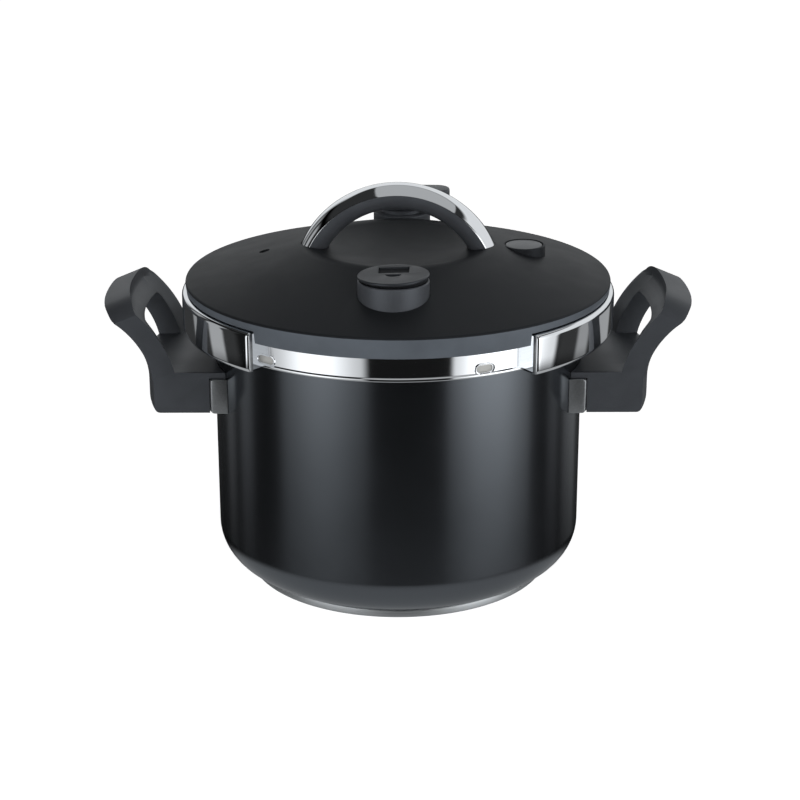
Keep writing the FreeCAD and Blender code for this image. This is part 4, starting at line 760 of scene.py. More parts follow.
def build_side_handle():
    """The right moulded handle: block, two arms and grip round one opening, as one body.

    Rings of points stand across the handle. Faces join each to the next, but for the rows beside
    the opening, where the opening's own faces close it, and the two end rings are closed flat.
    """
    low, high = span("side_handle_right")
    half = high.y
    window = half - ARM_WIDTH
    flat = window - WINDOW_CORNER
    bend = [flat + WINDOW_CORNER * math.sin(math.pi / 2 * k / 6) for k in range(7)]
    arm = steps_between(window, half, 5)
    right = steps_between(0.0, flat, 10)[:-1] + bend + arm
    across = [-y for y in reversed(right)] + [0.0] + right
    bm = bmesh.new()
    rings = [[bm.verts.new(p) for p in handle_ring(y, half, window, low.z)] for y in across]
    out_low = HEEL_STEPS + 1 + ROWS_LOW
    out_high = out_low + ROWS_OPEN
    in_high = out_high + 2 * ROWS_TOP + 1
    in_low = in_high + ROWS_OPEN
    count = len(rings[0])
    for k in range(len(rings) - 1):
        here, there = rings[k], rings[k + 1]
        opened = max(abs(across[k]), abs(across[k + 1])) <= window + 1e-9
        for i in range(count):
            if opened and (out_low <= i < out_high or in_high <= i < in_low):
                continue
            j = (i + 1) % count
            bm.faces.new((here[i], here[j], there[j], there[i]))
        if opened:
            bm.faces.new((here[out_high], there[out_high], there[in_high], here[in_high]))
            bm.faces.new((here[in_low], there[in_low], there[out_low], here[out_low]))

    def close(ring, rows):
        """Close a ring from its outer face across to its inner one, over so many rows."""
        for i in range(out_low, out_low + rows):
            back = in_low + out_low - i
            bm.faces.new((ring[i], ring[i + 1], ring[back - 1], ring[back]))

    for y in (-window, window):
        close(rings[min(range(len(across)), key=lambda k: abs(across[k] - y))], ROWS_OPEN)
    for ring in (rings[0], rings[-1]):
        bm.faces.new(ring[:out_low + 1] + ring[in_low:])
        close(ring, ROWS_OPEN + ROWS_TOP)
    return finish_mesh("handle_right", bm, [finish("handle plastic")])


def build_bracket(sizes):
    """The right pressed steel bracket: a band with rolled edges, curved with the pot."""
    low, high = span("handle_bracket_right")
    inner, bend = high.x - BRACKET_DEPTH, sizes.bracket_bend
    outline = rounded([(inner, low.z), (high.x, low.z, bend), (high.x, high.z, bend), (inner, high.z)])
    columns = 48
    bm = bmesh.new()
    rings = []
    for k in range(columns + 1):
        y = high.y * (2 * k / columns - 1)
        rings.append([(math.sqrt(reach * reach - y * y), y, z) for reach, z in outline])
    loft(bm, rings)
    item = finish_mesh("bracket_right", bm, [finish("brushed steel")])
    bevel(item, sizes.bracket_bevel, 3, 60.0)
    return item


# ---------------------------------------------------------------- lid
# The two gasket windows in the skirt: their places across it, their level and half sizes, and the
# raised ridge round each.
WINDOWS = (-71.5 * MM, 51.5 * MM)
WINDOW_LEVEL = 161.0 * MM
WINDOW_WIDE, WINDOW_TALL = 4.5 * MM, 2.2 * MM
RIDGE_OUT, RIDGE_WIRE = 0.7 * MM, 0.55 * MM
WINDOW_CUT = (-130 * MM, -60 * MM)
# The pan's plateau ends at PLATEAU_RIM and slopes down to the shoulder at SHOULDER_RIM.
PLATEAU_RIM, SHOULDER_RIM = 97.0 * MM, 103.0 * MM
PLATEAU_RISE = 2.4 * MM
SLOPE_BEND, SHOULDER_BEND = 1.2 * MM, 4.5 * MM
# Holes in the plateau: radii under the fittings, the arch's screws and the cover's screws.
VALVE_HOLES = {"regulator_seat": 5.0 * MM, "indicator_pin": 4.0 * MM, "safety_valve": 4.0 * MM}
ARCH_SCREW_X, ARCH_SCREW_HOLE = 48.5 * MM, 2.5 * MM
PILLARS = [(x, y) for x in (38.0 * MM, -38.0 * MM) for y in (84.0 * MM, -84.0 * MM)]
PILLAR_RADIUS, PILLAR_BORE = 4.0 * MM, 1.5 * MM
PILLAR_TOP = 190.5 * MM
PLATEAU_CUT = (170 * MM, 180 * MM)


def window_outline(middle, grow):
    """Oval outline of a gasket window, as places across the lid and heights."""
    wide, tall = WINDOW_WIDE + grow, WINDOW_TALL + grow
    return rounded([(middle + x * wide, WINDOW_LEVEL + z * tall, tall * 0.9)
                    for x, z in ((-1, -1), (1, -1), (1, 1), (-1, 1))], 8)


def build_pan(sizes):
    """The pressed steel lid with its rolled skirt edge, raised windows and valve holes."""
    low, high = span("lid_pan")
    bead = sizes.bead
    outer = high.y - bead
    bottom, top = low.z, high.z
    shoulder = top - PLATEAU_RISE
    wall = sizes.pan_wall
    inner = outer - wall
    outline = rounded([
        (0.0, top - wall), (PLATEAU_RIM, top - wall, 2 * SLOPE_BEND),
        (SHOULDER_RIM, shoulder - wall, SLOPE_BEND), (inner, shoulder - wall, SHOULDER_BEND - wall),
        (inner, bottom), (outer + bead, bottom, bead * 0.9), (outer + bead, bottom + 2.2 * bead, bead * 0.9),
        (outer, bottom + 3.4 * bead, bead), (outer, shoulder, SHOULDER_BEND),
        (SHOULDER_RIM, shoulder, 2 * SLOPE_BEND), (PLATEAU_RIM, top, SLOPE_BEND), (0.0, top),
    ], 8)
    pan = turned("lid_shell", outline, [finish("polished steel")], steps=LID_AROUND)
    cutter = bmesh.new()
    ridges = bmesh.new()
    for middle in WINDOWS:
        loft(cutter, [[(x, y, z) for x, z in window_outline(middle, 0.0)] for y in WINDOW_CUT])
        path = [(x, -math.sqrt(outer ** 2 - x * x), z) for x, z in window_outline(middle, RIDGE_OUT)]
        loft(ridges, tube_rings(path, RIDGE_WIRE), closed=True)
    holes = [(*centre_of(name), radius) for name, radius in VALVE_HOLES.items()]
    holes += [(x, 0.0, ARCH_SCREW_HOLE) for x in (ARCH_SCREW_X, -ARCH_SCREW_X)]
    holes += [(x, y, PILLAR_BORE) for x, y in PILLARS]
    for x, y, radius in holes:
        prism(cutter, circle_points(x, y, radius, 40), *PLATEAU_CUT)
    combine(pan, finish_mesh("window_ridges", ridges, [finish("polished steel")]), "UNION")
    combine(pan, finish_mesh("pan_cutter", cutter), "DIFFERENCE")
    return pan


def tube_rings(path, radius):
    """Circles round a closed path on the lid's skirt, each square to the path."""
    turns = [2 * math.pi * i / 8 for i in range(8)]
    rings = []
    for k, point in enumerate(path):
        here = Vector(point)
        ahead = (Vector(path[(k + 1) % len(path)]) - Vector(path[k - 1])).normalized()
        out = Vector((here.x, here.y, 0.0)).normalized()
        side = ahead.cross(out).normalized()
        out = side.cross(ahead)
        rings.append([here + radius * (math.cos(a) * out + math.sin(a) * side) for a in turns])
    return rings


COVER_EDGE = 127.8 * MM
BAND_RADIUS = 126.3 * MM
BAND_LOW = 172.0 * MM
# Half the width of the soft ridge round the finger dish.
RIDGE_SOFT = 6.0 * MM
# The button's boss: a ring that stands out of the cover and over the button by BOSS_LIP.
BOSS_IN, BOSS_OUT = 11.6 * MM, 12.9 * MM
BOSS_LIP = 0.3 * MM
# Wells in the cover round what stands through it.
WELLS = {"regulator_cap": 20.7 * MM, "lever_pinion": 18.3 * MM, "indicator_pin": 3.2 * MM}
ARCH_CLEAR = 0.3 * MM
ARCH_CLEAR_ANGLE = math.radians(0.6)
COVER_CUT_LOW, COVER_CUT_HIGH = 181 * MM, 215 * MM
# The notches for the jaws, past the jaws' own half angle.
JAW_HALF_ANGLE = math.radians(51.5)
NOTCH_PLAY = math.radians(0.88)
NOTCH_TOP = 179.2 * MM
NOTCH_CUT = (112.0 * MM, 131.0 * MM, 150 * MM)


def dome_height(radius, sizes):
    """Height of the cover's cone between its edge and its ridge."""
    run = (COVER_EDGE - radius) / (COVER_EDGE - sizes.ridge_radius)
    return sizes.cover_edge + (sizes.ridge_height - sizes.cover_edge) * run


def cover_outline(sizes):
    """Outline of the moulded cover: band, edge, cone, soft ridge and dish."""
    wall = sizes.cover_wall
    dish = sizes.ridge_height - sizes.dish_depth
    ridge = sizes.ridge_radius
    sphere = (ridge ** 2 + sizes.dish_depth ** 2) / (2 * sizes.dish_depth)
    top = []
    for k in range(25):
        radius = (ridge - RIDGE_SOFT) * k / 24
        top.append((radius, dish + sphere - math.sqrt(sphere ** 2 - radius ** 2)))
    behind = top[-1]
    crest = (ridge, sizes.ridge_height + 0.4 * MM)
    ahead = (ridge + RIDGE_SOFT, dome_height(ridge + RIDGE_SOFT, sizes))
    for t in steps_between(0.0, 1.0, 16):
        top.append(tuple((1 - t) ** 2 * a + 2 * t * (1 - t) * b + t * t * c
                         for a, b, c in zip(behind, crest, ahead)))
    under = [(x, z - wall) for x, z in reversed(top)]
    inner = COVER_EDGE - wall
    edge = rounded([
        ahead, (COVER_EDGE, sizes.cover_edge, sizes.cover_round), (BAND_RADIUS, BAND_LOW, 0.3 * MM),
        (BAND_RADIUS - wall, BAND_LOW), (inner - 0.6 * MM, dome_height(inner, sizes) - wall, 1.0 * MM),
        under[0],
    ], 6)
    return top[:-1] + [tuple(point) for point in edge] + under[1:]


def build_cover(sizes):
    """The moulded cover with its notches for the jaws, its wells and the button's boss."""
    cover = turned("cover_shell", cover_outline(sizes), [finish("cover plastic")], steps=LID_AROUND)
    button = centre_of("release_button")
    boss_top = span("release_button")[1].z + BOSS_LIP
    base = dome_height(button[0] + BOSS_OUT, sizes) - sizes.cover_wall
    ring = [(BOSS_IN, base), (BOSS_OUT, base), (BOSS_OUT, boss_top, 0.7 * MM), (BOSS_IN, boss_top, 0.35 * MM)]
    fill = bmesh.new()
    prism(fill, circle_points(*button, BOSS_IN, 96), COVER_CUT_LOW, COVER_CUT_HIGH)
    combine(cover, finish_mesh("boss_cutter", fill), "DIFFERENCE")
    boss = turned("cover_boss", rounded(ring), [finish("cover plastic")], button, steps=96)
    combine(cover, boss, "UNION")
    cutter = bmesh.new()
    near, far, low = NOTCH_CUT
    notch = [(near, low), (far, low), (far, NOTCH_TOP), (near, NOTCH_TOP)]
    for middle in (0.0, math.pi):
        lathe(cutter, notch, middle, 2 * (JAW_HALF_ANGLE + NOTCH_PLAY), 96)
    for name, radius in WELLS.items():
        prism(cutter, circle_points(*centre_of(name), radius, 128), COVER_CUT_LOW, COVER_CUT_HIGH)
    half = ARCH_HALF + ARCH_CLEAR
    around = arch_section(half, ARCH_EDGE, ARCH_CROWN + ARCH_CLEAR, 12)
    around += arch_belly(half, ARCH_BELLY, ARCH_UNDER - ARCH_CLEAR)
    loft(cutter, arch_rings(around, ARCH_ANGLE + ARCH_CLEAR_ANGLE))
    combine(cover, finish_mesh("cover_cutter", cutter), "DIFFERENCE")
    legs = bmesh.new()
    leg_prisms(legs, ARCH_CLEAR, COVER_CUT_LOW, arch_axis() + LEG_RISE)
    combine(cover, finish_mesh("leg_cutter", legs), "DIFFERENCE")
    # The outer band's faces take the band finish, whose lighter colour is a painted reflection of the floor.
    cover.data.materials.append(finish("cover band painted reflection"))
    for face in cover.data.polygons:
        if math.hypot(face.center.x, face.center.y) > BAND_RADIUS - 1.0 * MM and face.normal.z < 0.2:
            face.material_index = 1
    return cover


def build_pillars():
    """The cover's four screw pillars, seen from below."""
    bm = bmesh.new()
    bore, outer, foot, top = PILLAR_BORE, PILLAR_RADIUS, span("lid_pan")[1].z, PILLAR_TOP
    outline = [(bore, foot), (outer, foot), (outer, top), (bore, top)]
    for place in PILLARS:
        lathe(bm, outline, steps=48, centre=place)
    return finish_mesh("cover_pillars", bm, [finish("cover plastic")])


# Inner radii of a jaw's lip and of its plate. A turned-in end draws in by the hem's bend outside
# and by HEM_SHARE of that above and below.
LIP_RADIUS, PLATE_RADIUS = 117.0 * MM, 98.0 * MM
HEM_SHARE = 0.3
HEM_STEPS = 10
RAIL_STEPS = 150
# How far the closed ends stand proud of the rail and reach past its hem, so that they join well.
END_PROUD, END_PAST = 0.02 * MM, 0.1 * MM


def build_jaw(sizes):
    """The right chrome jaw: a C-shaped rail with rolled bends and a returned hem at each end."""
    low, high = span("jaw_right")
    outer, bottom, top = high.x, low.z, high.z
    wall, bend, hem = sizes.jaw_sheet, sizes.jaw_bend, sizes.jaw_hem
    lip, plate = LIP_RADIUS, PLATE_RADIUS
    inner = outer - wall

    def channel(inset):
        """The rail's section, drawn in by so much."""
        edge = inset * HEM_SHARE
        soft, turn = (wall - edge) * 0.42, bend - inset
        return rounded([
            (lip, bottom + edge, soft), (outer - inset, bottom + edge, turn),
            (outer - inset, top - edge, turn), (plate, top - edge), (plate, top - wall),
            (inner, top - wall, bend - wall), (inner, bottom + wall, bend - wall), (lip, bottom + wall, soft),
        ], 6)

    def block(inset):
        """The section of a closed end, drawn in by so much."""
        back, edge, turn = outer - sizes.jaw_return, inset * HEM_SHARE, bend - inset
        return rounded([(back, bottom + edge), (outer - inset, bottom + edge, turn),
                        (outer - inset, top - edge, turn), (back, top - edge)], 6)

    stations = []
    for k in range(HEM_STEPS + 1):
        turn = math.pi / 2 * k / HEM_STEPS
        back = hem * (1 - math.cos(turn)) / outer
        stations.append((JAW_HALF_ANGLE - back, hem * (1 - math.sin(turn))))
    along = steps_between(stations[-1][0], -stations[-1][0], RAIL_STEPS)[:-1]
    thick = [station for station in stations if station[1] < 0.85 * wall]
    whole = thick + [(angle, 0.0) for angle in along] + [(-angle, inset) for angle, inset in reversed(thick)]
    rail = bmesh.new()
    loft(rail, [round_ring(channel(inset), angle) for angle, inset in whole])
    jaw = finish_mesh("jaw_rail_right", rail, [finish("chrome")])
    ends = bmesh.new()
    for side in (1, -1):
        rows = [(angle + END_PROUD / outer, inset + END_PROUD) for angle, inset in stations]
        rows.append((JAW_HALF_ANGLE - (hem + END_PAST) / outer, END_PROUD))
        loft(ends, [round_ring(block(inset), side * angle) for angle, inset in rows])
    combine(jaw, finish_mesh("jaw_ends", ends, [finish("chrome")]), "UNION")
    # The jaw's inner faces and its ends take the finish with the painted glow, which the polished skirt
    # mirrors.
    jaw.data.materials.append(finish("jaw inside painted glow"))
    for face in jaw.data.polygons:
        x, y, z = face.center
        deep = math.hypot(x, y) < outer - 0.7 * wall
        end = abs(math.atan2(y, x)) > JAW_HALF_ANGLE - 0.05 * MM / outer
        if (deep or end) and bottom + 0.7 * wall < z < top - 0.7 * wall:
            face.material_index = 1
    return jaw


# Radii of the arch handle about its own axis, which runs from front to back.
ARCH_RADIUS = 64.0 * MM
ARCH_CROWN = 5.0 * MM
ARCH_EDGE = ARCH_RADIUS - ARCH_CROWN
ARCH_BELLY = 56.5 * MM
ARCH_UNDER = 48.5 * MM
ARCH_HALF = 12.5 * MM
ARCH_ANGLE = math.radians(66.5)
STRIP_SHEET = 1.2 * MM
# The arch's legs: from and to which place they reach across the lid, half their depth, their
# rounding, and their top over the arch's axis.
LEG_NEAR, LEG_FAR = 43.5 * MM, 53.5 * MM
LEG_HALF = 10.5 * MM
LEG_ROUND = 2.4 * MM
LEG_RISE = 24.5 * MM


def arch_axis():
    """Height of the arch's own axis."""
    return span("arch_trim")[1].z - ARCH_RADIUS


def arch_section(half, edge, crown, count):
    """Points over the arch's crowned top, from one side to the other, as (y, radius)."""
    radius = (half * half + crown * crown) / (2 * crown)
    across = [half * (2 * k / count - 1) for k in range(count + 1)]
    return [(y, edge + math.sqrt(max(radius * radius - y * y, 0.0)) - (radius - crown)) for y in across]


def arch_belly(side, belly, under):
    """Points under the arch's rounded belly, back from one side to the other."""
    return [(-y, 2 * belly - reach) for y, reach in arch_section(side, belly, belly - under, 20)]


def arch_rings(section, half_angle):
    """A (y, radius) section at even steps round the arch."""
    steps, axis = 96, arch_axis()
    rings = []
    for k in range(steps + 1):
        angle = half_angle * (2 * k / steps - 1)
        rings.append([(reach * math.sin(angle), y, axis + reach * math.cos(angle)) for y, reach in section])
    return rings


def leg_prisms(bm, clear, low, high):
    """The arch's two legs, with an even allowance round them."""
    near, far, half = LEG_NEAR - clear, LEG_FAR + clear, LEG_HALF + clear
    for first, last in ((near, far), (-far, -near)):
        corners = ((first, -half), (last, -half), (last, half), (first, half))
        prism(bm, rounded([(*corner, LEG_ROUND) for corner in corners]), low, high)


def build_arch():
    """The arch handle: a black core with a belly, under a crowned chrome strip."""
    outside = arch_section(ARCH_HALF, ARCH_EDGE, ARCH_CROWN, 24)
    inside = arch_section(ARCH_HALF - STRIP_SHEET, ARCH_EDGE, ARCH_CROWN - STRIP_SHEET, 24)
    bm = bmesh.new()
    loft(bm, arch_rings(outside + list(reversed(inside)), ARCH_ANGLE))
    strip = finish_mesh("arch_strip", bm, [finish("chrome")])
    bevel(strip, 0.25 * MM, 2, 50.0)
    gap = 0.1 * MM
    side, ledge = ARCH_HALF - 0.2 * MM, ARCH_EDGE - gap
    section = arch_section(ARCH_HALF - STRIP_SHEET - gap, ledge, ARCH_CROWN - STRIP_SHEET - gap, 12)
    section += [(side, ledge)] + arch_belly(side, ARCH_BELLY, ARCH_UNDER) + [(-side, ledge)]
    bm = bmesh.new()
    loft(bm, arch_rings(section, ARCH_ANGLE))
    core = finish_mesh("arch_core", bm, [finish("knob plastic painted light")])
    legs = bmesh.new()
    leg_prisms(legs, 0.0, span("lid_pan")[1].z, arch_axis() + LEG_RISE)
    combine(core, finish_mesh("arch_legs", legs, [finish("knob plastic painted light")]), "UNION")
    return core, strip


# ---------------------------------------------------------------- regulator, button, lever, valves
def build_regulator(sizes):
    """The regulator's turning cup, and its slightly leaning cap with its two sunk marks."""
    low = span("regulator_body")[0]
    centre = centre_of("regulator_cap")
    cap_low, cap_high = span("regulator_cap")
    radius = (cap_high.x - cap_low.x) / 2
    top = cap_low.z - sizes.cap_gap
    wall, hub, neck, bore, touch = 2.5 * MM, 8.5 * MM, 18.3 * MM, 5.1 * MM, 0.1 * MM
    outline = rounded([
        (bore, low.z), (hub, low.z), (hub, top - wall), (radius - wall, top - wall),
        (radius - wall, low.z), (radius, low.z), (radius, top, 0.9 * MM), (neck, top, 0.2 * MM),
        (neck, cap_low.z), (0.0, cap_low.z), (0.0, top), (bore, top),
    ], 5)
    cup = turned("regulator_cup", outline, [finish("knob plastic painted light"), finish("near black painted shade")], centre, steps=128)
    x, y = centre
    # Painted shade: the cup's top and neck, in the gap under the cap, take the near-black painted shade.
    for face in cup.data.polygons:
        out = math.hypot(face.center.x - x, face.center.y - y)
        if face.center.z > top - touch and out < radius - 1.0 * MM:
            face.material_index = 1
    soft = 0.8 * MM
    cap_outline = rounded([(0.0, cap_low.z), (radius, cap_low.z, soft), (radius, cap_high.z, soft),
                           (0.0, cap_high.z)], 6)
    cap = turned("regulator_lid", cap_outline, [finish("cap plastic painted shade")], centre, steps=128)
    cutter = bmesh.new()
    half, near, far, corner = 8.75 * MM, y + 1.8 * MM, y + 13.6 * MM, 0.6 * MM
    slot = [(x - half, near, corner), (x + half, near, corner), (x + half, far, corner),
            (x - half, far, corner)]
    half_moon = arc_points(x, y - 1.0 * MM, 4.6 * MM, 180, 360, 24)
    for mark in (rounded(slot), half_moon):
        prism(cutter, mark, cap_high.z - sizes.recess, cap_high.z + 5 * MM)
    combine(cap, finish_mesh("cap_cutter", cutter), "DIFFERENCE")
    bevel(cap, 0.15 * MM, 2, 60.0)
    # Painted shade: faces within the sunk slot's depth take the near-black painted shade.
    cap.data.materials.append(finish("near black painted shade"))
    for face in cap.data.polygons:
        deep = cap_low.z + touch < face.center.z < cap_high.z - 2.5 * touch
        if deep and abs(face.center.x - x) < half + 2 * touch and face.center.y > near - 2 * touch:
            face.material_index = 1
    middle = Vector((x, y, (cap_low.z + cap_high.z) / 2))
    lean = Matrix.Rotation(-sizes.cap_lean, 4, "Y")
    cap.data.transform(Matrix.Translation(middle) @ lean @ Matrix.Translation(-middle))
    return cup, cap


def build_button():
    """The round push button with a soft top edge."""
    low, high = span("release_button")
    radius = (high.x - low.x) / 2
    under, wall, stem = high.z - 3.0 * MM, 1.6 * MM, 3.0 * MM
    skirt = under - 8.0 * MM
    outline = rounded([
        (0.0, low.z), (stem, low.z, 0.6 * MM), (stem, under), (radius - wall, under),
        (radius - wall, skirt), (radius, skirt), (radius, high.z, 0.7 * MM), (0.0, high.z),
    ], 6)
    return turned("button_cap", outline, [finish("cap plastic painted shade")], centre_of("release_button"), steps=96)


def build_lever():
    """The locking lever: round hub, neck and a softly edged grip."""
    low, high = span("lever_knob")
    x, y = centre_of("lever_pinion")
    hub_top = 203.4 * MM
    wall, hub, neck, rise = 2.5 * MM, 18.0 * MM, 13.0 * MM, 1.8 * MM
    outline = rounded([
        (0.0, hub_top - wall), (hub - wall, hub_top - wall), (hub - wall, low.z), (hub, low.z),
        (hub, hub_top, 1.0 * MM), (neck, hub_top, 0.3 * MM), (neck, hub_top + rise + 0.1 * MM),
        (0.0, hub_top + rise + 0.1 * MM),
    ], 5)
    base = turned("lever_hub", outline, [finish("knob plastic painted light")], (x, y), steps=96)
    near, far, half = -18.0 * MM, 30.4 * MM, 9.5 * MM
    blunt, round_end = half * 0.9, half * 0.95
    plan = [(near, y - half, round_end), (far, y - half, blunt), (far, y + half, blunt),
            (near, y + half, round_end)]
    bm = bmesh.new()
    prism(bm, rounded(plan, 12), hub_top + rise, high.z)
    grip = finish_mesh("lever_grip", bm, [finish("knob plastic painted light")])
    bevel(grip, 1.6 * MM, 4, 50.0)
    return base, grip


def build_indicator():
    """The pressure indicator's headed pin with its small rounded cap."""
    low, high = span("indicator_pin")
    head, stem, cap, soft = 4.4 * MM, 2.0 * MM, 2.7 * MM, 0.4 * MM
    shoulder, under = low.z + 1.6 * MM, high.z - 8.0 * MM
    outline = rounded([
        (0.0, low.z), (head, low.z, soft), (head, shoulder, soft), (stem, shoulder), (stem, under),
        (cap, under), (cap, high.z, 1.2 * MM), (0.0, high.z),
    ])
    return turned("indicator_plunger", outline, [finish("screw steel")], centre_of("indicator_pin"), steps=48)


def build_gasket():
    """The silicone ring under the lid's shoulder."""
    low, high = span("lid_gasket")
    wall, lip, inner = 1.8 * MM, 107.5 * MM, 104.0 * MM
    outer = (high.y - low.y) / 2
    outline = rounded([
        (lip, low.z), (outer, low.z, 0.6 * MM), (outer, high.z, 3.3 * MM), (inner, high.z, 0.6 * MM),
        (inner, high.z - wall, 0.6 * MM), (outer - wall, high.z - wall, wall),
        (outer - wall, low.z + wall, wall), (lip, low.z + wall / 2),
    ], 6)
    return turned("gasket_ring", outline, [finish("silicone")])


# Each coil spring: the CAD node that it stands for, its body, ring and wire radius, and turns.
SPRINGS = {
    "button_coil": ("button_spring", "lid", 7.6 * MM, 0.45 * MM, 5.0),
    "relief_coil": ("relief_spring", "regulator", 3.2 * MM, 0.35 * MM, 4.0),
}


def build_spring(name, tree, node_name, ring, wire, turns):
    """A coil spring that fills its CAD node's height."""
    low, high = span(node_name)
    centre = (low + high) / 2
    values = {"Turns": turns, "Height": high.z - low.z - 2 * wire, "Ring radius": ring, "Wire radius": wire,
              "Material": finish("screw steel")}
    return run_tree(name, tree, values, [(centre.x, centre.y, low.z + wire)])


# ---------------------------------------------------------------- operators
class CookerOperator:
    """What the cooker's operators share: they run on the scene and can be undone."""
    bl_options = {"REGISTER", "UNDO"}


class COOKER_OT_finishes(CookerOperator, bpy.types.Operator):
    """Make every material of the cooker"""
    bl_idname = "cooker.finishes"
    bl_label = "Make finishes"

    def execute(self, context):
        make_finishes(context.scene.cooker_finishes)
        return {"FINISHED"}


class COOKER_OT_pot(CookerOperator, bpy.types.Operator):
    """Build the coated pot and its base disc"""
    bl_idname = "cooker.pot"
    bl_label = "Build pot"

    def execute(self, context):
        sizes = context.scene.cooker_pot
        attach(build_pot(sizes), "pot", "black_enamel", "pot_body")
        attach(build_base(sizes), "pot", "base_steel", "base_plate")
        return {"FINISHED"}


class COOKER_OT_side_handles(CookerOperator, bpy.types.Operator):
    """Build both side handles and their steel brackets"""
    bl_idname = "cooker.side_handles"
    bl_label = "Build side handles"

    def execute(self, context):
        sizes = context.scene.cooker_pot
        handle = build_side_handle()
        bevel(handle, sizes.handle_bevel, 3, 28.0)
        bracket = build_bracket(sizes)
        attach(half_turned(handle, "handle_left"), "pot", "handle_bakelite", "side_handle_left")
        attach(handle, "pot", "handle_bakelite", "side_handle_right")
        attach(half_turned(bracket, "bracket_left"), "pot", "bracket_steel", "handle_bracket_left")
        attach(bracket, "pot", "bracket_steel", "handle_bracket_right")
        return {"FINISHED"}


class COOKER_OT_lid(CookerOperator, bpy.types.Operator):
    """Build the pressed steel lid and its gasket"""
    bl_idname = "cooker.lid"
    bl_label = "Build lid"

    def execute(self, context):
        attach_on_lid(build_pan(context.scene.cooker_lid), "lid", "polished_steel", "lid_pan")
        attach_on_lid(build_gasket(), "lid", "silicone", "lid_gasket")
        return {"FINISHED"}


class COOKER_OT_cover(CookerOperator, bpy.types.Operator):
    """Build the moulded cover and its screw pillars"""
    bl_idname = "cooker.cover"
    bl_label = "Build cover"

    def execute(self, context):
        attach_on_lid(build_cover(context.scene.cooker_lid), "lid", "cover_plastic", "lid_cover")
        attach_on_lid(build_pillars(), "lid", "cover_plastic")
        return {"FINISHED"}


class COOKER_OT_jaws(CookerOperator, bpy.types.Operator):
    """Build both chrome jaws"""
    bl_idname = "cooker.jaws"
    bl_label = "Build jaws"

    def execute(self, context):
        jaw = build_jaw(context.scene.cooker_lid)
        attach_on_lid(half_turned(jaw, "jaw_rail_left"), "jaw_left", "jaw_chrome", "jaw_left")
        attach_on_lid(jaw, "jaw_right", "jaw_chrome", "jaw_right")
        return {"FINISHED"}


class COOKER_OT_arch(CookerOperator, bpy.types.Operator):
    """Build the arch handle's core and chrome strip"""
    bl_idname = "cooker.arch"
    bl_label = "Build arch handle"

    def execute(self, context):
        core, strip = build_arch()
        attach_on_lid(core, "lid", "cover_plastic", "arch_grip")
        attach_on_lid(strip, "lid", "trim_chrome", "arch_trim")
        return {"FINISHED"}


class COOKER_OT_regulator(CookerOperator, bpy.types.Operator):
    """Build the pressure regulator's cup and its cap"""
    bl_idname = "cooker.regulator"
    bl_label = "Build regulator"

    def execute(self, context):
        cup, cap = build_regulator(context.scene.cooker_lid)
        attach_on_lid(cup, "regulator", "knob_plastic", "regulator_body")
        attach_on_lid(cap, "regulator", "knob_plastic", "regulator_cap")
        return {"FINISHED"}


class COOKER_OT_button(CookerOperator, bpy.types.Operator):
    """Build the release button"""
    bl_idname = "cooker.button"
    bl_label = "Build button"

    def execute(self, context):
        attach_on_lid(build_button(), "release_button", "knob_plastic", "release_button")
        return {"FINISHED"}


class COOKER_OT_lever(CookerOperator, bpy.types.Operator):
    """Build the locking lever"""
    bl_idname = "cooker.lever"
    bl_label = "Build lever"

    def execute(self, context):
        hub, grip = build_lever()
        attach_on_lid(hub, "lock_lever", "knob_plastic", "lever_knob")
        attach_on_lid(grip, "lock_lever", "knob_plastic", "lever_knob")
        return {"FINISHED"}


class COOKER_OT_springs(CookerOperator, bpy.types.Operator):
    """Build the button's and the relief valve's springs and the pressure indicator"""
    bl_idname = "cooker.springs"
    bl_label = "Build springs and indicator"

    def execute(self, context):
        tree = coil_tree()
        for name, (node_name, body, *shape) in SPRINGS.items():
            attach(build_spring(name, tree, node_name, *shape), body, "screw_steel", node_name)
        attach_on_lid(build_indicator(), "indicator", "valve_metal", "indicator_pin")
        return {"FINISHED"}


# Finish and slot of the CAD nodes that stay in view.
NODE_FINISHES = {
    ("screw steel", "screw_steel"): (
        "handle_screws", "cover_screws", "arch_screws", "guide_studs", "lever_pivot", "lever_pinion",
        "button_guide", "jaw_rivets_left", "jaw_rivets_right"),
    ("valve brass", "valve_metal"): ("regulator_seat", "regulator_nut", "safety_valve", "relief_valve"),
    ("silicone", "silicone"): ("indicator_grommet", "indicator_seal"),
    ("plated steel", "carrier_steel"): ("carrier_left", "carrier_right"),
}


class COOKER_OT_nodes(CookerOperator, bpy.types.Operator):
    """Give the CAD nodes that stay in view their finishes"""
    bl_idname = "cooker.nodes"
    bl_label = "Finish the other parts"

    def execute(self, context):
        looks = {name: look for look, names in NODE_FINISHES.items() for name in names}
        for name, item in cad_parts.items():
            # CAD nodes that are not listed take the near-black painted shade.
            kind, slot = looks.get(name, ("near black painted shade", None))
            item.data.materials.clear()
            item.data.materials.append(finish(kind))
        return {"FINISHED"}


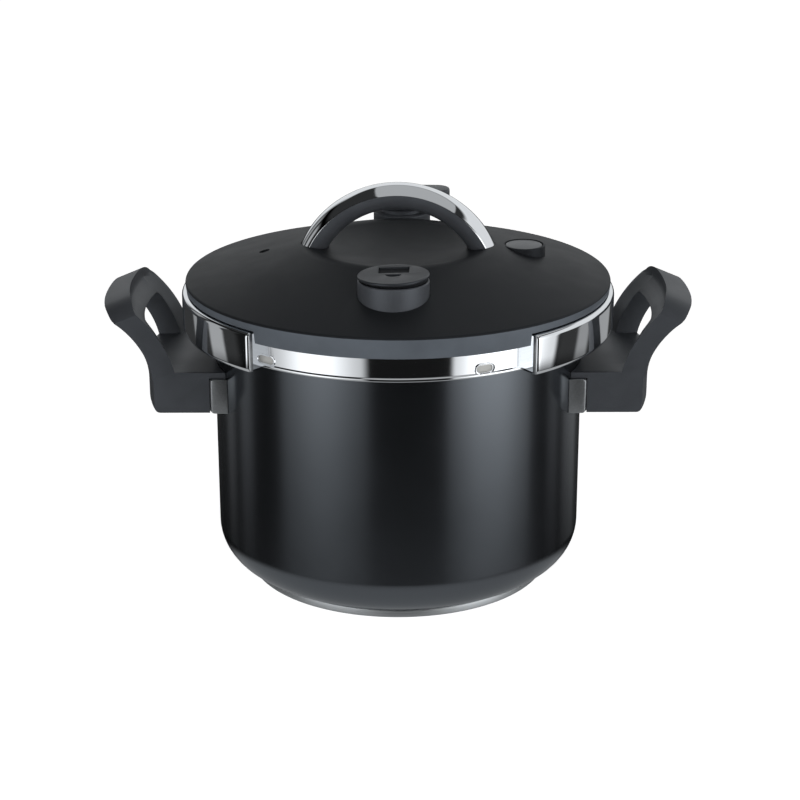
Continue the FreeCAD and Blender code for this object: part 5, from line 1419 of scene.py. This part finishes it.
# ---------------------------------------------------------------- studio
# What polished metal mirrors. Azimuths run from the front to the right, heights up from the
# horizon, both in degrees; the third number is the softness of the edges, and BEYOND lies past
# every direction. The soft boxes and reflectors also have their brightness. The overhead panel's
# edges are slants, sideways over upwards.
BEYOND = 400.0
BOXES = (
    (-77.0, -18.4, 3.0, 0.62), (-62.0, -32.0, 14.0, 0.85), (30.6, 90.0, 2.0, 0.82), (42.0, 76.0, 12.0, 1.25),
    (-116.5, -103.5, 1.5, 0.36), (-136.0, -125.0, 1.5, 0.26), (108.0, 119.0, 2.0, 0.28),
    (127.0, 150.0, 2.0, 0.32), (-210.0, -92.0, 3.0, 0.03), (92.0, 210.0, 3.0, 0.03),
)
BOX_HEIGHTS = (-22.5, 24.0, 4.0)
GROUND_HEIGHTS = (-BEYOND, -31.0, 4.0)
WALL_AZIMUTHS = ((-210.0, -144.0, 8.0), (75.0, 210.0, 8.0))
WALL_HEIGHTS = (0.0, 38.0, 3.0)
PANEL_SLANTS = (-0.31, 0.92, 0.02)
PANEL_HEIGHTS = (40.0, BEYOND, 3.0)
CEILING_HEIGHTS = (34.0, BEYOND, 4.0)
DIM, GROUND, WALLS, PANEL, CEILING = 0.009, 0.4, 0.8, 0.42, 0.03
COOL_STUDIO = (0.96, 0.985, 1.0, 1.0)
WHITE = (1.0, 1.0, 1.0, 1.0)
# What matt surfaces get from the horizon, fading up to a height in degrees.
PLAIN_LIGHT = (1.1, 0.07)
PLAIN_HEIGHTS = (0.0, 44.0)
FLOOR_GLOW = 0.84
FLOOR_REACH = 6.0
# Each lamp's place and its share of the soft boxes' power.
LAMPS = {"box_left": ((-1.3, -2.3, 0.4), 0.85), "box_right": ((1.3, -2.3, 0.4), 1.15)}
LAMP_AIM = Vector((0.0, 0.0, 0.1))
LAMP_SIZE = 1.8
SENSOR_WIDTH = 36.0


def between(tree, angle, limits, at):
    """A value of 1 between two limits, with soft edges, and 0 elsewhere."""
    first, last, soft = limits
    rise = map_range(tree, angle, (first - soft, first + soft), (0.0, 1.0), at,
                     interpolation_type="SMOOTHSTEP")
    fall = map_range(tree, angle, (last - soft, last + soft), (1.0, 0.0), (at[0], at[1] - 250),
                     interpolation_type="SMOOTHSTEP")
    return calc(tree, "MULTIPLY", rise, fall, (at[0] + 200, at[1]))


def mirrored_studio(tree, ray, height):
    """How bright the studio is in each direction: soft boxes, floor, side walls and overhead panel."""
    back = calc(tree, "MULTIPLY", ray["Y"], -1.0, (-1400, 0))
    turn = calc(tree, "ARCTAN2", ray["X"], back, (-1200, 0))
    azimuth = calc(tree, "MULTIPLY", turn, math.degrees(1.0), (-1000, 0))
    boxes = DIM
    for *limits, bright in BOXES:
        box = calc(tree, "MULTIPLY", between(tree, azimuth, limits, (-800, 300)), bright)
        boxes = calc(tree, "ADD", boxes, box)
    boxes = calc(tree, "MULTIPLY", boxes, between(tree, height, BOX_HEIGHTS, (-800, -900)))
    walls = [between(tree, azimuth, limits, (-800, -1400)) for limits in WALL_AZIMUTHS]
    walls = calc(tree, "MULTIPLY", calc(tree, "ADD", *walls), WALLS)
    walls = calc(tree, "MULTIPLY", walls, between(tree, height, WALL_HEIGHTS, (-800, -1400)))
    ground = calc(tree, "MULTIPLY", between(tree, height, GROUND_HEIGHTS, (-800, -1900)), GROUND)
    slant = calc(tree, "DIVIDE", ray["X"], ray["Z"])
    panel = calc(tree, "MULTIPLY", between(tree, slant, PANEL_SLANTS, (-800, -2400)), PANEL)
    panel = calc(tree, "MULTIPLY", panel, between(tree, height, PANEL_HEIGHTS, (-800, -2900)))
    ceiling = calc(tree, "MULTIPLY", between(tree, height, CEILING_HEIGHTS, (-800, -3400)), CEILING)
    above = calc(tree, "ADD", panel, ceiling)
    return calc(tree, "ADD", calc(tree, "MAXIMUM", boxes, walls), calc(tree, "ADD", ground, above))


def light_world(world):
    """White to the camera, plain to matt surfaces, and soft boxes in the studio's mirror image."""
    world.use_nodes = True
    tree = world.node_tree
    tree.nodes.clear()
    place = node(tree, "ShaderNodeTexCoord", (-1800, 0)).outputs["Generated"]
    ray = node(tree, "ShaderNodeSeparateXYZ", (-1600, 0), Vector=place).outputs
    lift = calc(tree, "ARCSINE", ray["Z"], 0.0, (-1200, -400))
    height = calc(tree, "MULTIPLY", lift, math.degrees(1.0), (-1000, -400))
    mirrored = colour_mix(tree, 1.0, mirrored_studio(tree, ray, height), COOL_STUDIO, (-200, 200),
                          blend_type="MULTIPLY")
    plain = map_range(tree, height, PLAIN_HEIGHTS, PLAIN_LIGHT, (-200, 0))
    lights = [node(tree, "ShaderNodeBackground", (0, 0), Strength=plain),
              node(tree, "ShaderNodeBackground", (0, -200), Color=mirrored),
              node(tree, "ShaderNodeBackground", (0, 200), Color=WHITE)]
    path = node(tree, "ShaderNodeLightPath", (-600, 600)).outputs
    seen = lights[0].outputs["Background"]
    for kind, light in zip(("Is Glossy Ray", "Is Camera Ray"), lights[1:]):
        choice = node(tree, "ShaderNodeMixShader", (300, 0), Fac=path[kind])
        feed(tree, seen, choice.inputs[1])
        feed(tree, light.outputs["Background"], choice.inputs[2])
        seen = choice.outputs["Shader"]
    node(tree, "ShaderNodeOutputWorld", (700, 0), Surface=seen)


def build_floor():
    """The white floor, which shines to the camera only and stays out of mirrors."""
    mesh = bpy.data.meshes.new("floor")
    corners = [(x * FLOOR_REACH, y * FLOOR_REACH, 0) for x, y in ((-1, -1), (1, -1), (1, 1), (-1, 1))]
    mesh.from_pydata(corners, [], [(0, 1, 2, 3)])
    made = Finish("studio floor")
    seen = node(made.tree, "ShaderNodeLightPath", (-400, 0)).outputs["Is Camera Ray"]
    made.give(Base_Color=(0.93, 0.93, 0.93, 1.0), Roughness=0.9, Specular_IOR_Level=0.0, Emission_Color=WHITE,
              Emission_Strength=calc(made.tree, "MULTIPLY", seen, FLOOR_GLOW, (-200, 0)))
    mesh.materials.append(made.material)
    floor = add_object("floor", mesh)
    floor.visible_glossy = False


def add_lamp(name, where, power):
    """A square soft box that lights the cooker and stays out of mirrors and out of the picture."""
    light = bpy.data.lights.new(name, "AREA")
    light.shape = "RECTANGLE"
    light.size = light.size_y = LAMP_SIZE
    light.energy = power
    lamp = add_object(name, light)
    lamp.location = where
    lamp.rotation_euler = (LAMP_AIM - Vector(where)).to_track_quat("-Z", "Y").to_euler()
    lamp.visible_glossy = False
    lamp.visible_camera = False


def add_camera(studio):
    """The camera in front of the cooker, looking down on it."""
    camera = bpy.data.cameras.new("camera")
    camera.lens = studio.lens
    camera.sensor_width = SENSOR_WIDTH
    camera.shift_x = studio.shift
    item = add_object("camera", camera)
    item.matrix_world = (Matrix.Translation((0.0, -studio.distance, studio.height))
                         @ Matrix.Rotation(math.radians(90.0) - studio.tilt, 4, "X")
                         @ Matrix.Rotation(studio.roll, 4, "Z"))
    bpy.context.scene.camera = item


class COOKER_OT_studio(CookerOperator, bpy.types.Operator):
    """Build the floor, the light and the camera"""
    bl_idname = "cooker.studio"
    bl_label = "Build studio"

    def execute(self, context):
        scene = context.scene
        build_floor()
        for name, (where, share_of_power) in LAMPS.items():
            add_lamp(name, where, scene.cooker_studio.box_power * share_of_power)
        world = bpy.data.worlds.new("studio")
        scene.world = world
        world.cycles.sampling_method = "NONE"
        light_world(world)
        add_camera(scene.cooker_studio)
        scene.view_settings.view_transform = "Standard"
        return {"FINISHED"}


OPERATORS = (
    COOKER_OT_finishes, COOKER_OT_pot, COOKER_OT_side_handles, COOKER_OT_lid, COOKER_OT_cover,
    COOKER_OT_jaws, COOKER_OT_arch, COOKER_OT_regulator, COOKER_OT_button, COOKER_OT_lever,
    COOKER_OT_springs, COOKER_OT_nodes, COOKER_OT_studio,
)
GROUPS = (
    ("cooker_pot", CookerPotSizes), ("cooker_lid", CookerLidSizes), ("cooker_finishes", CookerFinishes),
    ("cooker_studio", CookerStudio),
)


class COOKER_PT_panel(bpy.types.Panel):
    """The cooker's sizes, finishes and build steps"""
    bl_idname = "COOKER_PT_panel"
    bl_label = "Pressure cooker"
    bl_space_type = "VIEW_3D"
    bl_region_type = "UI"
    bl_category = "Cooker"

    def draw(self, context):
        for operator in OPERATORS:
            self.layout.operator(operator.bl_idname)
        for name, group in GROUPS:
            box = self.layout.box()
            values = getattr(context.scene, name)
            for key in group.__annotations__:
                box.prop(values, key)


def register():
    for item in (*(group for _, group in GROUPS), *OPERATORS, COOKER_PT_panel):
        bpy.utils.register_class(item)
    for name, group in GROUPS:
        setattr(bpy.types.Scene, name, bpy.props.PointerProperty(type=group))


def unregister():
    for name, _ in GROUPS:
        delattr(bpy.types.Scene, name)
    for item in (COOKER_PT_panel, *reversed(OPERATORS), *(group for _, group in GROUPS)):
        bpy.utils.unregister_class(item)


def main():
    """Build everything in order."""
    register()
    for operator in OPERATORS:
        group, name = operator.bl_idname.split(".")
        getattr(getattr(bpy.ops, group), name)()


if __name__ == "__main__":
    main()
